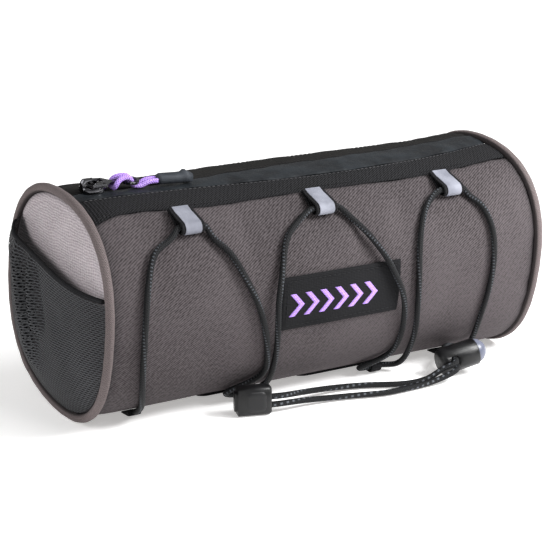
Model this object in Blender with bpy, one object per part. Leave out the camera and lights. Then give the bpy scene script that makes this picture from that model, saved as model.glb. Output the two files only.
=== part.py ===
"""Barrel bag for a bicycle handlebar, lying on its underside.

Metres. +X runs along the barrel to the right, the front looks to -Y, +Z is up.
The origin is the middle of the flattened underside, on the surface that the bag rests on.

Most places on the barrel are given as a share of its half length and an angle round it:
0 degrees is the top, 90 the front, 180 the underside and 270 the back.
"""
import math

import bmesh
import bpy
import numpy as np
from mathutils import Matrix, Vector

# Driving sizes of the barrel
BARREL_RADIUS = 0.056
BARREL_LENGTH = 0.250
REST_RISE = 0.0002
REST_HEIGHT = BARREL_RADIUS + REST_RISE
BODY_WALL = 0.0025
STRIP_WALL = 0.0012
PIPING_RADIUS = 0.0022
GAP = 0.0003

# The cross-section is a circle, slightly squared and leaning, as shares of the radius
SQUARED = 0.029
SQUARED_TURN = 9.0
LEANING = 0.015
THREE_SIDED = 0.008
REST_BULGE = 0.0028
REST_BULGE_MIDDLE = 184.0
REST_BULGE_WIDTH = 16.0
SEAM_PINCH = 0.0008
SEAM_PINCH_LENGTH = 0.006

# Large soft dents (minus) and bulges (plus) of the wall
DENT_COLUMNS = ("share_of_half_length", "angle", "share_of_radius", "width_share", "width_angle")
DENTS = (
    (-0.55, -5.0, -0.026, 0.28, 24.0),
    (0.93, -16.0, 0.030, 0.12, 18.0),
    (0.93, 136.0, 0.022, 0.12, 24.0),
    (0.00, 95.0, 0.008, 0.55, 28.0),
)

# Seams that run along the barrel, as angles at shares of the half length
SEAM_COLUMNS = ("share", "front_strip_edge", "tape_edge", "zip_line", "back_strip_edge")
SEAMS = (
    (-1.00, 40.0, 17.5, 8.5, -13.0),
    (-0.90, 35.3, 17.5, 8.5, -19.0),
    (-0.62, 35.6, 17.5, 7.2, -21.5),
    (-0.22, 36.0, 21.5, 4.8, -22.0),
    (0.25, 36.0, 22.5, 2.8, -22.0),
    (0.58, 35.6, 20.2, 0.8, -21.0),
    (0.80, 32.6, 16.5, -2.2, -17.0),
    (1.00, 29.6, 10.5, -5.5, -13.0),
)
ZIP_COIL_WIDTH = 0.0042
ZIP_COIL_THICKNESS = 0.0012

# Ends
PANEL_WALL = 0.0015
PANEL_DOME = 0.0040
POCKET_WALL = 0.0010
POCKET_FULLNESS = 0.0110
POCKET_EDGE_COLUMNS = ("y_share_of_radius", "height_share_of_radius")
POCKET_EDGE = ((-0.930, 0.200), (-0.70, 0.236), (-0.43, 0.291), (-0.07, 0.373), (0.30, 0.447), (0.54, 0.530),
               (0.690, 0.650))
POCKET_RIM_ANGLES = (79.5, 311.8)
BINDING_HEIGHT = 0.0034
BINDING_THICKNESS = 0.0018
BINDING_SEAT = 0.0001
BINDING_END_GAPS = (0.0012, 0.0042)

# Webbing
WEB_THICKNESS = 0.0009
WEB_EASE = 0.0006
WEB_SIDE_EASE = 0.0006
TOP_LOOP_WIDTH = 0.0125
TOP_LOOP_SHARES = (-0.625, -0.033, 0.585)
TOP_LOOP_SEAM_DROP = 0.9
TOP_LOOP_ANGLE = 48.8
BOTTOM_LOOP_WIDTH = 0.0064
BOTTOM_LOOP_SHARES = (-0.336, 0.308)
BOTTOM_LOOP_SEAM_ANGLE = 160.0
BOTTOM_LOOP_ANGLE = 150.5
TAB_WIDTH = 0.0070
TAB_SHARES = (-0.798, 0.672)
TAB_ANGLES = (152.6, 154.5, 157.0, 160.0)
TAB_TAPER = (1.0, 1.0, 0.66, 0.30)
STRAP_WIDTH = 0.022
STRAP_THICKNESS = 0.0015
STRAP_SHARES = (-0.56, 0.56)
STRAP_BOW = 0.0062
STRAP_ANGLES = (-66.0, -124.0)

# Front patch
LABEL_THICKNESS = 0.0010
LABEL_WIDTH = 0.069
LABEL_HEIGHT = 0.0275
LABEL_MIDDLE_SHARE = 0.010
LABEL_TOP_ANGLE = 78.5

# Elastic cord
CORD_RADIUS = 0.0015
CORD_STEP = 0.0072

# Zip puller, along its own line from the hinge in the slider
SLIDER_SHARE = -0.896
SLIDER_LENGTH = 0.0120
SLIDER_SHIFT = 0.0026
SLIDER_WIDTH = 0.0078
SLIDER_HEIGHT = 0.0026
BRIDGE_WIDTH = 0.0030
BRIDGE_LENGTH = 0.0072
BRIDGE_THICKNESS = 0.0009
TAB_BAR = 0.0014
TAB_EYE_LENGTH = 0.0112
TAB_EYE_WIDTH = 0.0096
TAB_RING_PLACE = 0.0215
TAB_RING_RADIUS = 0.0046
PULL_CORD_RADIUS = 0.0011
GRIP_START = 0.0358
GRIP_LENGTH = 0.0180
GRIP_WIDTH = 0.0062
GRIP_HEIGHT = 0.0046
PULL_SLOPE = 1.9
PULL_TURN = -3.2

# Cord lock, from the middle of its closed end
LOCK_END = (0.0630, -0.0528, 0.0072)
LOCK_TURN = -12.0
LOCK_TILT = 12.0
LOCK_RADIUS = 0.0071
LOCK_LENGTH = 0.0212
LOCK_FLOOR = 0.0012
LOCK_BORE_RADIUS = 0.0049
LOCK_MOUTH_RADIUS = 0.0066
LOCK_MOUTH_DEPTH = 0.0068
LOCK_STROKE = 0.0025
LOCK_FOOT = 0.0014
LOCK_DOME = 0.0056
CORD_SIDE_STEP = 0.0017
LOCK_EXIT = (0.0035, 0.0132)

# Clip on the ends of the cord
CLIP_MIDDLE = (-0.0472, -0.0512)
CLIP_TURN = -18.0
CLIP_LENGTH = 0.0165
CLIP_HEIGHT = 0.0142
CLIP_THICKNESS = 0.0078
CLIP_EDGE = 0.0012
CLIP_FLANGE = 0.0014
CLIP_CORD_HEIGHTS = (0.0043, 0.0084)
CLIP_SOCKET = 0.0060

HALF_LENGTH = BARREL_LENGTH / 2
WALL_END = HALF_LENGTH - PIPING_RADIUS - GAP
CORD_LIFT = CORD_RADIUS + 1.5 * GAP
LOOP_INNER_RADIUS = CORD_RADIUS + WEB_EASE
LOOP_CORD_LIFT = GAP + WEB_THICKNESS + LOOP_INNER_RADIUS
TAB_BAR_TURN = TAB_BAR / 2 * math.sqrt(2) + GAP


# Scene and meshes

def clear_scene():
    for obj in list(bpy.data.objects):
        bpy.data.objects.remove(obj, do_unlink=True)


def finish(name, colour, roughness, metallic=0.0):
    """A plain Principled material of one colour."""
    mat = bpy.data.materials.new(name)
    mat.use_nodes = True
    shader = mat.node_tree.nodes["Principled BSDF"]
    shader.inputs["Base Color"].default_value = (*colour, 1.0)
    shader.inputs["Roughness"].default_value = roughness
    shader.inputs["Metallic"].default_value = metallic
    return mat


def add_piece(name, points, faces, mat, sharp=40.0):
    """Make one object from points and faces, with its faces turned outward."""
    mesh = bpy.data.meshes.new(name)
    mesh.from_pydata([tuple(map(float, p)) for p in points], [], [tuple(map(int, f)) for f in faces])
    shape = bmesh.new()
    shape.from_mesh(mesh)
    bmesh.ops.recalc_face_normals(shape, faces=shape.faces)
    shape.to_mesh(mesh)
    shape.free()
    mesh.shade_smooth()
    mesh.set_sharp_from_angle(angle=math.radians(sharp))
    mesh.materials.append(mat)
    obj = bpy.data.objects.new(name, mesh)
    bpy.context.scene.collection.objects.link(obj)
    return obj


def add_sheet(name, outer, inner, mat):
    """A wall between two grids of points with the same rows and columns, closed round its edges."""
    rows, columns = outer.shape[:2]
    points = np.concatenate([outer.reshape(-1, 3), inner.reshape(-1, 3)])
    index = np.arange(rows * columns).reshape(rows, columns)
    back = index + rows * columns
    faces = []
    for r in range(rows - 1):
        for c in range(columns - 1):
            faces.append((index[r, c], index[r, c + 1], index[r + 1, c + 1], index[r + 1, c]))
            faces.append((back[r, c], back[r + 1, c], back[r + 1, c + 1], back[r, c + 1]))
    for r in range(rows - 1):
        for c in (0, columns - 1):
            faces.append((index[r, c], index[r + 1, c], back[r + 1, c], back[r, c]))
    for c in range(columns - 1):
        for r in (0, rows - 1):
            faces.append((index[r, c], index[r, c + 1], back[r, c + 1], back[r, c]))
    return add_piece(name, points, faces, mat)


def add_rings(name, rings, mat, closed=False, sharp=40.0):
    """Skin a row of rings that have the same number of points, with flat caps unless it closes."""
    count, sides = rings.shape[:2]
    index = np.arange(count * sides).reshape(count, sides)
    faces = []
    for r in range(count if closed else count - 1):
        s = (r + 1) % count
        for k in range(sides):
            n = (k + 1) % sides
            faces.append((index[r, k], index[r, n], index[s, n], index[s, k]))
    if not closed:
        faces.append(tuple(index[0]))
        faces.append(tuple(index[-1]))
    return add_piece(name, rings.reshape(-1, 3), faces, mat, sharp)


def add_turned(name, profile, sides, mat, frame):
    """Turn a profile of (distance along, radius) points round the frame's X axis; radius 0 makes a pole."""
    points = []
    rows = []
    for along, radius in profile:
        if radius == 0.0:
            rows.append([len(points)] * sides)
            points.append((along, 0.0, 0.0))
            continue
        rows.append(list(range(len(points), len(points) + sides)))
        for k in range(sides):
            turn = 2 * math.pi * k / sides
            points.append((along, radius * math.cos(turn), radius * math.sin(turn)))
    faces = []
    for a, b in zip(rows, rows[1:]):
        for k in range(sides):
            n = (k + 1) % sides
            corners = [a[k], a[n], b[n], b[k]]
            faces.append(tuple(dict.fromkeys(corners)))
    obj = add_piece(name, points, faces, mat)
    obj.matrix_world = frame
    return obj


def cut_away(target, cutter):
    """Subtract the cutter, which stays in the file as a guide only."""
    cutter.hide_render = True
    cutter.display_type = "WIRE"
    step = target.modifiers.new("cut", "BOOLEAN")
    step.operation = "DIFFERENCE"
    step.solver = "EXACT"
    step.object = cutter


def box_piece(name, low, high, mat):
    points = [(x, y, z) for x in (low[0], high[0]) for y in (low[1], high[1]) for z in (low[2], high[2])]
    faces = [(0, 1, 3, 2), (4, 6, 7, 5), (0, 4, 5, 1), (2, 3, 7, 6), (0, 2, 6, 4), (1, 5, 7, 3)]
    return add_piece(name, points, faces, mat)


# Curves

def spline(knots, values, at):
    """Natural cubic spline through values at knots, read at the places given."""
    knots = np.asarray(knots, float)
    values = np.asarray(values, float)
    flat = values.reshape(len(knots), -1)
    step = np.diff(knots)
    count = len(knots)
    matrix = np.eye(count)
    right = np.zeros_like(flat)
    for i in range(1, count - 1):
        matrix[i, i - 1:i + 2] = (step[i - 1], 2 * (step[i - 1] + step[i]), step[i])
        right[i] = 6 * ((flat[i + 1] - flat[i]) / step[i] - (flat[i] - flat[i - 1]) / step[i - 1])
    bend = np.linalg.solve(matrix, right)
    at = np.asarray(at, float)
    i = np.clip(np.searchsorted(knots, at, side="right") - 1, 0, count - 2)
    width = step[i][:, None]
    a = (knots[i + 1] - at)[:, None] / width
    b = (at - knots[i])[:, None] / width
    out = a * flat[i] + b * flat[i + 1] + ((a ** 3 - a) * bend[i] + (b ** 3 - b) * bend[i + 1]) * width ** 2 / 6
    return out.reshape((len(at),) + values.shape[1:])


def smooth_route(route, step):
    """Points up to about one step apart on a smooth curve that passes through every route point."""
    route = np.asarray(route, float)
    knots = np.concatenate([[0.0], np.cumsum(np.linalg.norm(np.diff(route, axis=0), axis=1))])
    at = [np.array([0.0])]
    for first, last in zip(knots, knots[1:]):
        pieces = max(1, int(round((last - first) / step)))
        at.append(np.linspace(first, last, pieces + 1)[1:])
    return spline(knots, route, np.concatenate(at))


def add_cord(name, points, radius, mat):
    """A round cord with filled ends along the points."""
    curve = bpy.data.curves.new(name, "CURVE")
    curve.dimensions = "3D"
    curve.bevel_depth = radius
    curve.bevel_resolution = 2
    curve.use_fill_caps = True
    run = curve.splines.new("POLY")
    run.points.add(len(points) - 1)
    for place, point in zip(run.points, points):
        place.co = (*map(float, point), 1.0)
    curve.materials.append(mat)
    obj = bpy.data.objects.new(name, curve)
    bpy.context.scene.collection.objects.link(obj)
    return obj


# The barrel's surface

def section_share(angle):
    a = np.radians(angle)
    squared = SQUARED * np.cos(4 * (a - math.radians(SQUARED_TURN)))
    return 1 + LEANING * np.sin(2 * a) + THREE_SIDED * np.sin(3 * a) - squared


def turn_between(angle, middle):
    """The signed angle from the middle, between -180 and 180."""
    return (np.asarray(angle) - middle + 180.0) % 360.0 - 180.0


def soft_shape(share, angle):
    """How far the soft wall stands off the plain section: dents, bulges, seam pinch and rest bulge."""
    off = REST_BULGE * np.exp(-(turn_between(angle, REST_BULGE_MIDDLE) / REST_BULGE_WIDTH) ** 2)
    for place, middle, depth, wide, wide_angle in DENTS:
        along = ((share - place) / wide) ** 2
        around = (turn_between(angle, middle) / wide_angle) ** 2
        off = off + BARREL_RADIUS * depth * np.exp(-along - around)
    to_seam = HALF_LENGTH * (1 - np.abs(share))
    return off - SEAM_PINCH * np.exp(-(to_seam / SEAM_PINCH_LENGTH) ** 2)


def barrel(share, angle, lift=0.0, soft=True):
    """Points on the barrel at a share of the half length and an angle, lifted off the cloth."""
    share, angle, lift = np.broadcast_arrays(*(np.asarray(v, float) for v in (share, angle, lift)))
    radius = BARREL_RADIUS * section_share(angle) + lift
    if soft:
        radius = radius + soft_shape(share, angle)
    a = np.radians(angle)
    height = REST_HEIGHT + radius * np.cos(a)
    height = np.maximum(height, np.maximum(-lift, 0.0))
    return np.stack([share * HALF_LENGTH, -radius * np.sin(a), height], axis=-1)


def seam(column, share):
    table = np.array(SEAMS)
    return spline(table[:, 0], table[:, SEAM_COLUMNS.index(column)], np.atleast_1d(share))


def wall_shares(count):
    """Stations along the wall, closer together near the ends."""
    half = np.linspace(-math.pi / 2, math.pi / 2, count)
    return (0.55 * np.sin(half) + 0.45 * half / (math.pi / 2)) * WALL_END / HALF_LENGTH


GAP_ANGLE = math.degrees(GAP / BARREL_RADIUS)


def wall_grids(shares, angles, wall, top_lift=0.0):
    rows = shares[:, None] + 0 * angles
    return barrel(rows, angles, top_lift), barrel(rows, angles, top_lift - wall)


# Pieces

def make_body(mats):
    shares = wall_shares(13)
    fixed = np.arange(47.0, 330.1, 7.0)
    first = seam("front_strip_edge", shares) + GAP_ANGLE / 2
    last = 360.0 + seam("back_strip_edge", shares) - GAP_ANGLE / 2
    angles = np.column_stack([first, np.tile(fixed, (len(shares), 1)), last])
    add_sheet("body_panel", *wall_grids(shares, angles, BODY_WALL), mats["grey"])


def make_strip(name, upper, lower, columns, wall, mat):
    """A strip between two seams, each given as a column of the table and a shift in degrees."""
    shares = wall_shares(13)
    high = seam(upper[0], shares) + upper[1]
    low = seam(lower[0], shares) + lower[1]
    across = np.linspace(0, 1, columns + 1)
    angles = high[:, None] + (low - high)[:, None] * across
    add_sheet(name, *wall_grids(shares, angles, wall), mat)


def make_zip(mats):
    slit = GAP_ANGLE
    make_strip("front_strip", ("tape_edge", GAP_ANGLE / 2), ("front_strip_edge", -GAP_ANGLE / 2), 3, STRIP_WALL,
               mats["twill"])
    make_strip("front_tape", ("zip_line", slit), ("tape_edge", -GAP_ANGLE / 2), 3, STRIP_WALL, mats["coated"])
    make_strip("back_strip", ("back_strip_edge", GAP_ANGLE / 2), ("zip_line", -slit), 4, STRIP_WALL, mats["ribbed"])
    shares = wall_shares(13) * 0.985
    half = math.degrees(ZIP_COIL_WIDTH / 2 / BARREL_RADIUS)
    angles = seam("zip_line", shares)[:, None] + np.array([-half, 0.0, half])
    lift = -STRIP_WALL - 1.6 * GAP
    add_sheet("zip_coil", *wall_grids(shares, angles, ZIP_COIL_THICKNESS, lift), mats["coil"])


def rim_radius(angle):
    return BARREL_RADIUS * section_share(angle) - PIPING_RADIUS - GAP


def end_place(side, y, height, stand_off):
    """A point over an end of the barrel: side is -1 or 1, height is above the barrel's middle."""
    x = side * (HALF_LENGTH + stand_off)
    z = np.maximum(REST_HEIGHT + height, GAP)
    return np.stack([x, y, z], axis=-1)


def disc_share(y, height):
    angle = np.degrees(np.arctan2(-y, height))
    return np.hypot(y, height) / rim_radius(angle)


def make_end_panel(side, label, mats):
    sides = 36
    rings = (1.0, 0.78, 0.42)
    angle = np.linspace(0, 360, sides, endpoint=False)
    points = []
    for layer in (0.0, -PANEL_WALL):
        for ring in rings:
            radius = rim_radius(angle) * ring
            y = -radius * np.sin(np.radians(angle))
            height = radius * np.cos(np.radians(angle))
            points.append(end_place(side, y, height, layer + PANEL_DOME * (1 - ring ** 2) + 0 * y))
        points.append(end_place(side, np.zeros(1), np.zeros(1), np.array([layer + PANEL_DOME])))
    points = np.concatenate(points)
    layer_size = len(rings) * sides + 1
    faces = []
    for start in (0, layer_size):
        for r in range(len(rings) - 1):
            for k in range(sides):
                n = (k + 1) % sides
                a = start + r * sides
                faces.append((a + k, a + n, a + sides + n, a + sides + k))
        inner = start + (len(rings) - 1) * sides
        pole = start + layer_size - 1
        for k in range(sides):
            faces.append((inner + k, inner + (k + 1) % sides, pole))
    for k in range(sides):
        n = (k + 1) % sides
        faces.append((k, n, layer_size + n, layer_size + k))
    add_piece("end_panel_" + label, points, faces, mats["panel"])


def make_piping(side, label, mats):
    """The cloth-covered cord in the end seam, a tube on the section's outline, pressed flat below."""
    turns, sides = 40, 6
    angle = np.linspace(0, 360, turns, endpoint=False)
    middle = barrel(side, angle, 0.0, soft=False)
    rings = []
    for k in range(sides):
        around = 2 * math.pi * (k + 0.5) / sides
        out = PIPING_RADIUS * math.cos(around)
        tube = barrel(side, angle, out, soft=False)
        tube[:, 2] = middle[:, 2] + out * np.cos(np.radians(angle))
        tube[:, 0] += PIPING_RADIUS * math.sin(around)
        tube[:, 2] = np.maximum(tube[:, 2], 0.0)
        rings.append(tube)
    add_rings("piping_" + label, np.stack(rings, axis=1), mats["panel"], closed=True)


def pocket_height(y):
    """The pocket's opening edge on the end, as a height over the barrel's middle."""
    table = np.array(POCKET_EDGE) * BARREL_RADIUS
    return spline(table[:, 0], table[:, 1], np.atleast_1d(y))


def pocket_stand_off(y, height):
    full = np.clip(1 - disc_share(y, height) ** 2, 0, 1)
    return GAP + POCKET_WALL + POCKET_FULLNESS * full * (1 + 0.6 * (1 - full))


def make_pocket(side, label, mats):
    columns, rows = 20, 6
    across = np.linspace(0.0, 1.0, columns)
    table = np.array(POCKET_EDGE) * BARREL_RADIUS
    edge_y = table[0, 0] + (table[-1, 0] - table[0, 0]) * across
    edge_height = pocket_height(edge_y)
    rim_angle = POCKET_RIM_ANGLES[0] + (POCKET_RIM_ANGLES[1] - POCKET_RIM_ANGLES[0]) * across
    inset = rim_radius(rim_angle) - GAP
    rim_y = -inset * np.sin(np.radians(rim_angle))
    rim_height = inset * np.cos(np.radians(rim_angle))
    down = (np.linspace(0, 1, rows) ** 0.8)[:, None]
    y = edge_y + (rim_y - edge_y) * down
    height = edge_height + (rim_height - edge_height) * down
    stand = pocket_stand_off(y, height)
    add_sheet("mesh_pocket_" + label, end_place(side, y, height, stand),
              end_place(side, y, height, stand - POCKET_WALL), mats["mesh"])

    # The binding sits on the sheet's opening edge, one gap above it
    along_y = np.linspace(edge_y[0] + BINDING_END_GAPS[0], edge_y[-1] - BINDING_END_GAPS[1], 18)
    slope = np.gradient(pocket_height(along_y), along_y)
    up = np.stack([-slope, np.ones_like(slope)], axis=-1) / np.hypot(slope, 1)[:, None]
    base_height = pocket_height(along_y)
    middle_off = pocket_stand_off(along_y, base_height) - POCKET_WALL / 2
    rings = []
    half = BINDING_THICKNESS / 2
    low, high = GAP + BINDING_SEAT, GAP + BINDING_HEIGHT
    for rise, off in ((low, -half), (low, half), (0.7 * high, half), (high, 0.3 * half), (high, -0.3 * half),
                      (0.7 * high, -half)):
        y = along_y + up[:, 0] * rise
        height = base_height + up[:, 1] * rise
        rings.append(end_place(side, y, height, middle_off + off))
    add_rings("pocket_binding_" + label, np.stack(rings, axis=1), mats["webbing"])


def web_profile():
    """Middle line of a folded webbing loop as (distance from seam to cord, lift) pairs, cord at 0."""
    half = WEB_THICKNESS / 2
    reach = LOOP_INNER_RADIUS + half
    low = GAP + half
    turns = np.radians(np.linspace(-90.0, 105.0, 7))
    curl = [(reach * math.cos(t), LOOP_CORD_LIFT + reach * math.sin(t)) for t in turns]
    return low, curl


def add_loop(name, share, width, seam_angle, cord_angle, mat):
    """Webbing sewn in at the seam angle, folded round the cord at the cord angle."""
    low, curl = web_profile()
    sign = 1.0 if cord_angle > seam_angle else -1.0
    run = abs(cord_angle - seam_angle)
    to_angle = math.degrees(1 / BARREL_RADIUS)
    upper = low + WEB_THICKNESS + GAP
    line = [(0.0, low), (0.35 * run, low), (0.72 * run, low)]
    line += [(run + to_angle * out, lift) for out, lift in curl]
    top_lift = curl[-1][1]
    line += [(0.62 * run, upper + 0.50 * (top_lift - upper)), (0.30 * run, upper + 0.10 * (top_lift - upper)),
             (0.0, upper)]
    line = np.array(line)
    flat = np.column_stack([line[:, 0] / to_angle, line[:, 1]])
    along = np.gradient(flat, axis=0)
    along /= np.linalg.norm(along, axis=1)[:, None]
    normal = np.column_stack([-along[:, 1], along[:, 0]])
    half_web = WEB_THICKNESS / 2
    half_share = width / 2 / HALF_LENGTH
    rings = []
    for side_share, side in ((-1, -1), (1, -1), (1, 1), (-1, 1)):
        place = flat + normal * half_web * side
        angle = seam_angle + sign * place[:, 0] * to_angle
        rings.append(barrel(share + side_share * half_share, angle, place[:, 1]))
    return add_rings(name, np.stack(rings, axis=1), mat, sharp=60.0)


def make_loops(mats):
    for number, share in enumerate(TOP_LOOP_SHARES, 1):
        seam_angle = float(seam("front_strip_edge", share)[0]) + TOP_LOOP_SEAM_DROP
        add_loop("top_loop_%d" % number, share, TOP_LOOP_WIDTH, seam_angle, TOP_LOOP_ANGLE, mats["webbing"])
    for number, share in enumerate(BOTTOM_LOOP_SHARES, 1):
        add_loop("bottom_loop_%d" % number, share, BOTTOM_LOOP_WIDTH, BOTTOM_LOOP_SEAM_ANGLE, BOTTOM_LOOP_ANGLE,
                 mats["webbing"])


def make_tabs(mats):
    """Webbing sewn over the two cord ends on the underside, thick at the cord and tapering to its seam."""
    half_share = TAB_WIDTH / 2 / HALF_LENGTH
    thick = CORD_LIFT + CORD_RADIUS - GAP
    for number, middle in enumerate(TAB_SHARES, 1):
        shares = np.array([middle - half_share, middle, middle + half_share])[:, None]
        lift = GAP + thick * np.array(TAB_TAPER)
        outer = barrel(shares, np.array(TAB_ANGLES), lift)
        inner = barrel(shares, np.array(TAB_ANGLES), GAP)
        add_sheet("bottom_tab_%d" % number, outer, inner, mats["webbing"])


def make_label(mats):
    half_share = LABEL_WIDTH / 2 / HALF_LENGTH
    shares = np.linspace(LABEL_MIDDLE_SHARE - half_share, LABEL_MIDDLE_SHARE + half_share, 7)
    drop = math.degrees(LABEL_HEIGHT / BARREL_RADIUS)
    angles = np.tile(np.linspace(LABEL_TOP_ANGLE, LABEL_TOP_ANGLE + drop, 5), (len(shares), 1))
    add_sheet("label_patch", *wall_grids(shares, angles, LABEL_THICKNESS, GAP + LABEL_THICKNESS), mats["label"])


def make_straps(mats):
    """Plain webbing on the back, sewn down at both ends and bowed so that a bar strap goes through."""
    columns = (0.0, 0.10, 0.18, 0.30, 0.42, 0.5, 0.58, 0.70, 0.82, 0.90, 1.0)
    rise = (0.0, 0.0, 0.25, 0.78, 0.97, 1.0, 0.97, 0.78, 0.25, 0.0, 0.0)
    first, last = STRAP_ANGLES
    angles = first + (last - first) * np.array(columns)
    lift = GAP + STRAP_BOW * np.array(rise)
    half_share = STRAP_WIDTH / 2 / HALF_LENGTH
    for label, middle in zip(("left", "right"), STRAP_SHARES):
        shares = np.array([middle - half_share, middle + half_share])[:, None]
        outer = barrel(shares, angles, lift + STRAP_THICKNESS, soft=False)
        inner = barrel(shares, angles, lift, soft=False)
        add_sheet("bar_strap_" + label, outer, inner, mats["webbing"])


def lock_frame():
    """The cord lock's frame: X along it to the button, Y along the cords to the back, Z up across both."""
    turn, tilt = math.radians(LOCK_TURN), math.radians(LOCK_TILT)
    along = Vector((math.cos(tilt) * math.cos(turn), math.cos(tilt) * math.sin(turn), math.sin(tilt)))
    cords = Vector((-math.sin(turn), math.cos(turn), 0.0))
    frame = Matrix((along, cords, along.cross(cords))).transposed().to_4x4()
    frame.translation = Vector(LOCK_END)
    return frame


LOCK_HOLE_HALF = CORD_SIDE_STEP + CORD_RADIUS + GAP
LOCK_HOLE_START = LOCK_FLOOR + GAP + LOCK_STROKE + LOCK_FOOT + GAP
LOCK_CORD_PLACE = LOCK_HOLE_START + CORD_RADIUS
LOCK_CORD_REACH = (GAP, 0.5 * LOCK_RADIUS, LOCK_RADIUS)


def make_lock(mats):
    frame = lock_frame()
    mouth = LOCK_LENGTH - LOCK_MOUTH_DEPTH
    rim = LOCK_RADIUS
    body = add_turned("cord_lock_body", (
        (0.0, 0.0), (0.0, rim - 0.0026), (0.0008, rim - 0.0009), (0.0026, rim), (LOCK_LENGTH - 0.0004, rim),
        (LOCK_LENGTH, rim - 0.0003), (LOCK_LENGTH, LOCK_MOUTH_RADIUS), (mouth, LOCK_MOUTH_RADIUS),
        (mouth, LOCK_BORE_RADIUS), (LOCK_FLOOR, LOCK_BORE_RADIUS), (LOCK_FLOOR, 0.0)), 20, mats["plastic"], frame)
    reach = 2 * LOCK_RADIUS
    hole = box_piece("cord_hole_cutter", (LOCK_CORD_PLACE - CORD_RADIUS - GAP, -reach, -LOCK_HOLE_HALF),
                     (LOCK_CORD_PLACE + CORD_RADIUS + GAP, reach, LOCK_HOLE_HALF), mats["plastic"])
    hole.matrix_world = frame
    cut_away(body, hole)

    stem = LOCK_BORE_RADIUS - GAP
    head = LOCK_MOUTH_RADIUS - GAP
    seat = mouth + GAP + LOCK_STROKE
    foot = LOCK_FLOOR + GAP + LOCK_STROKE
    button = add_turned("cord_lock_button", (
        (foot, 0.0), (foot, stem), (seat, stem), (seat, head), (LOCK_LENGTH + 0.0006, head),
        (LOCK_LENGTH + 0.50 * LOCK_DOME, 0.88 * head), (LOCK_LENGTH + 0.86 * LOCK_DOME, 0.55 * head),
        (LOCK_LENGTH + LOCK_DOME, 0.0)), 20, mats["button"], frame)
    slot = box_piece("button_slot_cutter", (LOCK_CORD_PLACE - CORD_RADIUS - GAP, -reach, -LOCK_HOLE_HALF),
                     (LOCK_CORD_PLACE + CORD_RADIUS + GAP + LOCK_STROKE, reach, LOCK_HOLE_HALF), mats["button"])
    slot.matrix_world = frame
    cut_away(button, slot)


def in_lock(along, forward, across):
    return tuple(lock_frame() @ Vector((along, -forward, across)))


def on_cloth(share, angle, extra=0.0):
    return tuple(barrel(share, angle, CORD_LIFT + extra))


def through_loop(share, angle, width, direction):
    """Three points that take the cord straight along the barrel through a loop."""
    rise = LOOP_CORD_LIFT - CORD_LIFT
    half = (width / 2 + WEB_SIDE_EASE) / HALF_LENGTH
    return [on_cloth(share + direction * k * half, angle, rise) for k in (-1, 0, 1)]


# Places of the elastic cord on the cloth between two loops: (share of half length, angle, extra lift)
ARC_3_RIGHT = ((0.666, 52.4, 0.0), (0.703, 57.1, 0.0), (0.729, 62.8, 0.0), (0.749, 72.0, 0.0), (0.756, 84.0, 0.0),
               (0.753, 97.0, 0.0), (0.745, 110.0, 0.0), (0.741, 122.0, 0.0), (0.748, 133.0, 0.0005),
               (0.742, 142.0, 0.0022))
ARC_3_LEFT = ((0.473, 52.2, 0.0), (0.418, 59.5, 0.0), (0.378, 73.0, 0.0), (0.377, 92.0, 0.0), (0.390, 109.0, 0.0),
              (0.408, 124.0, 0.0002), (0.416, 136.0, 0.0010), (0.396, 147.0, 0.0030))
ARC_2_RIGHT = ((0.228, 149.0, 0.0012), (0.300, 141.0, 0.0004), (0.338, 129.0, 0.0), (0.326, 112.0, 0.0004),
               (0.288, 95.0, 0.0016), (0.252, 86.5, 0.0016), (0.212, 78.0, 0.0016), (0.170, 70.0, 0.0008),
               (0.128, 62.5, 0.0), (0.068, 53.5, 0.0))
ARC_2_LEFT = ((-0.142, 51.8, 0.0), (-0.228, 60.0, 0.0), (-0.272, 74.0, 0.0004), (-0.294, 88.0, 0.0012),
              (-0.286, 104.0, 0.0010), (-0.268, 120.0, 0.0), (-0.254, 134.0, 0.0), (-0.256, 146.0, 0.0006))
ARC_1_RIGHT = ((-0.415, 147.5, 0.0006), (-0.310, 134.5, 0.0), (-0.304, 121.0, 0.0), (-0.336, 105.0, 0.0),
               (-0.386, 87.5, 0.0), (-0.444, 73.0, 0.0), (-0.504, 60.5, 0.0), (-0.548, 53.5, 0.0))
ARC_1_LEFT = ((-0.706, 51.6, 0.0), (-0.780, 56.5, 0.0), (-0.832, 66.0, 0.0), (-0.856, 79.0, 0.0), (-0.863, 94.0, 0.0),
              (-0.860, 110.0, 0.0), (-0.846, 124.0, 0.0), (-0.818, 137.0, 0.0), (-0.799, 147.0, 0.0))


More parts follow.
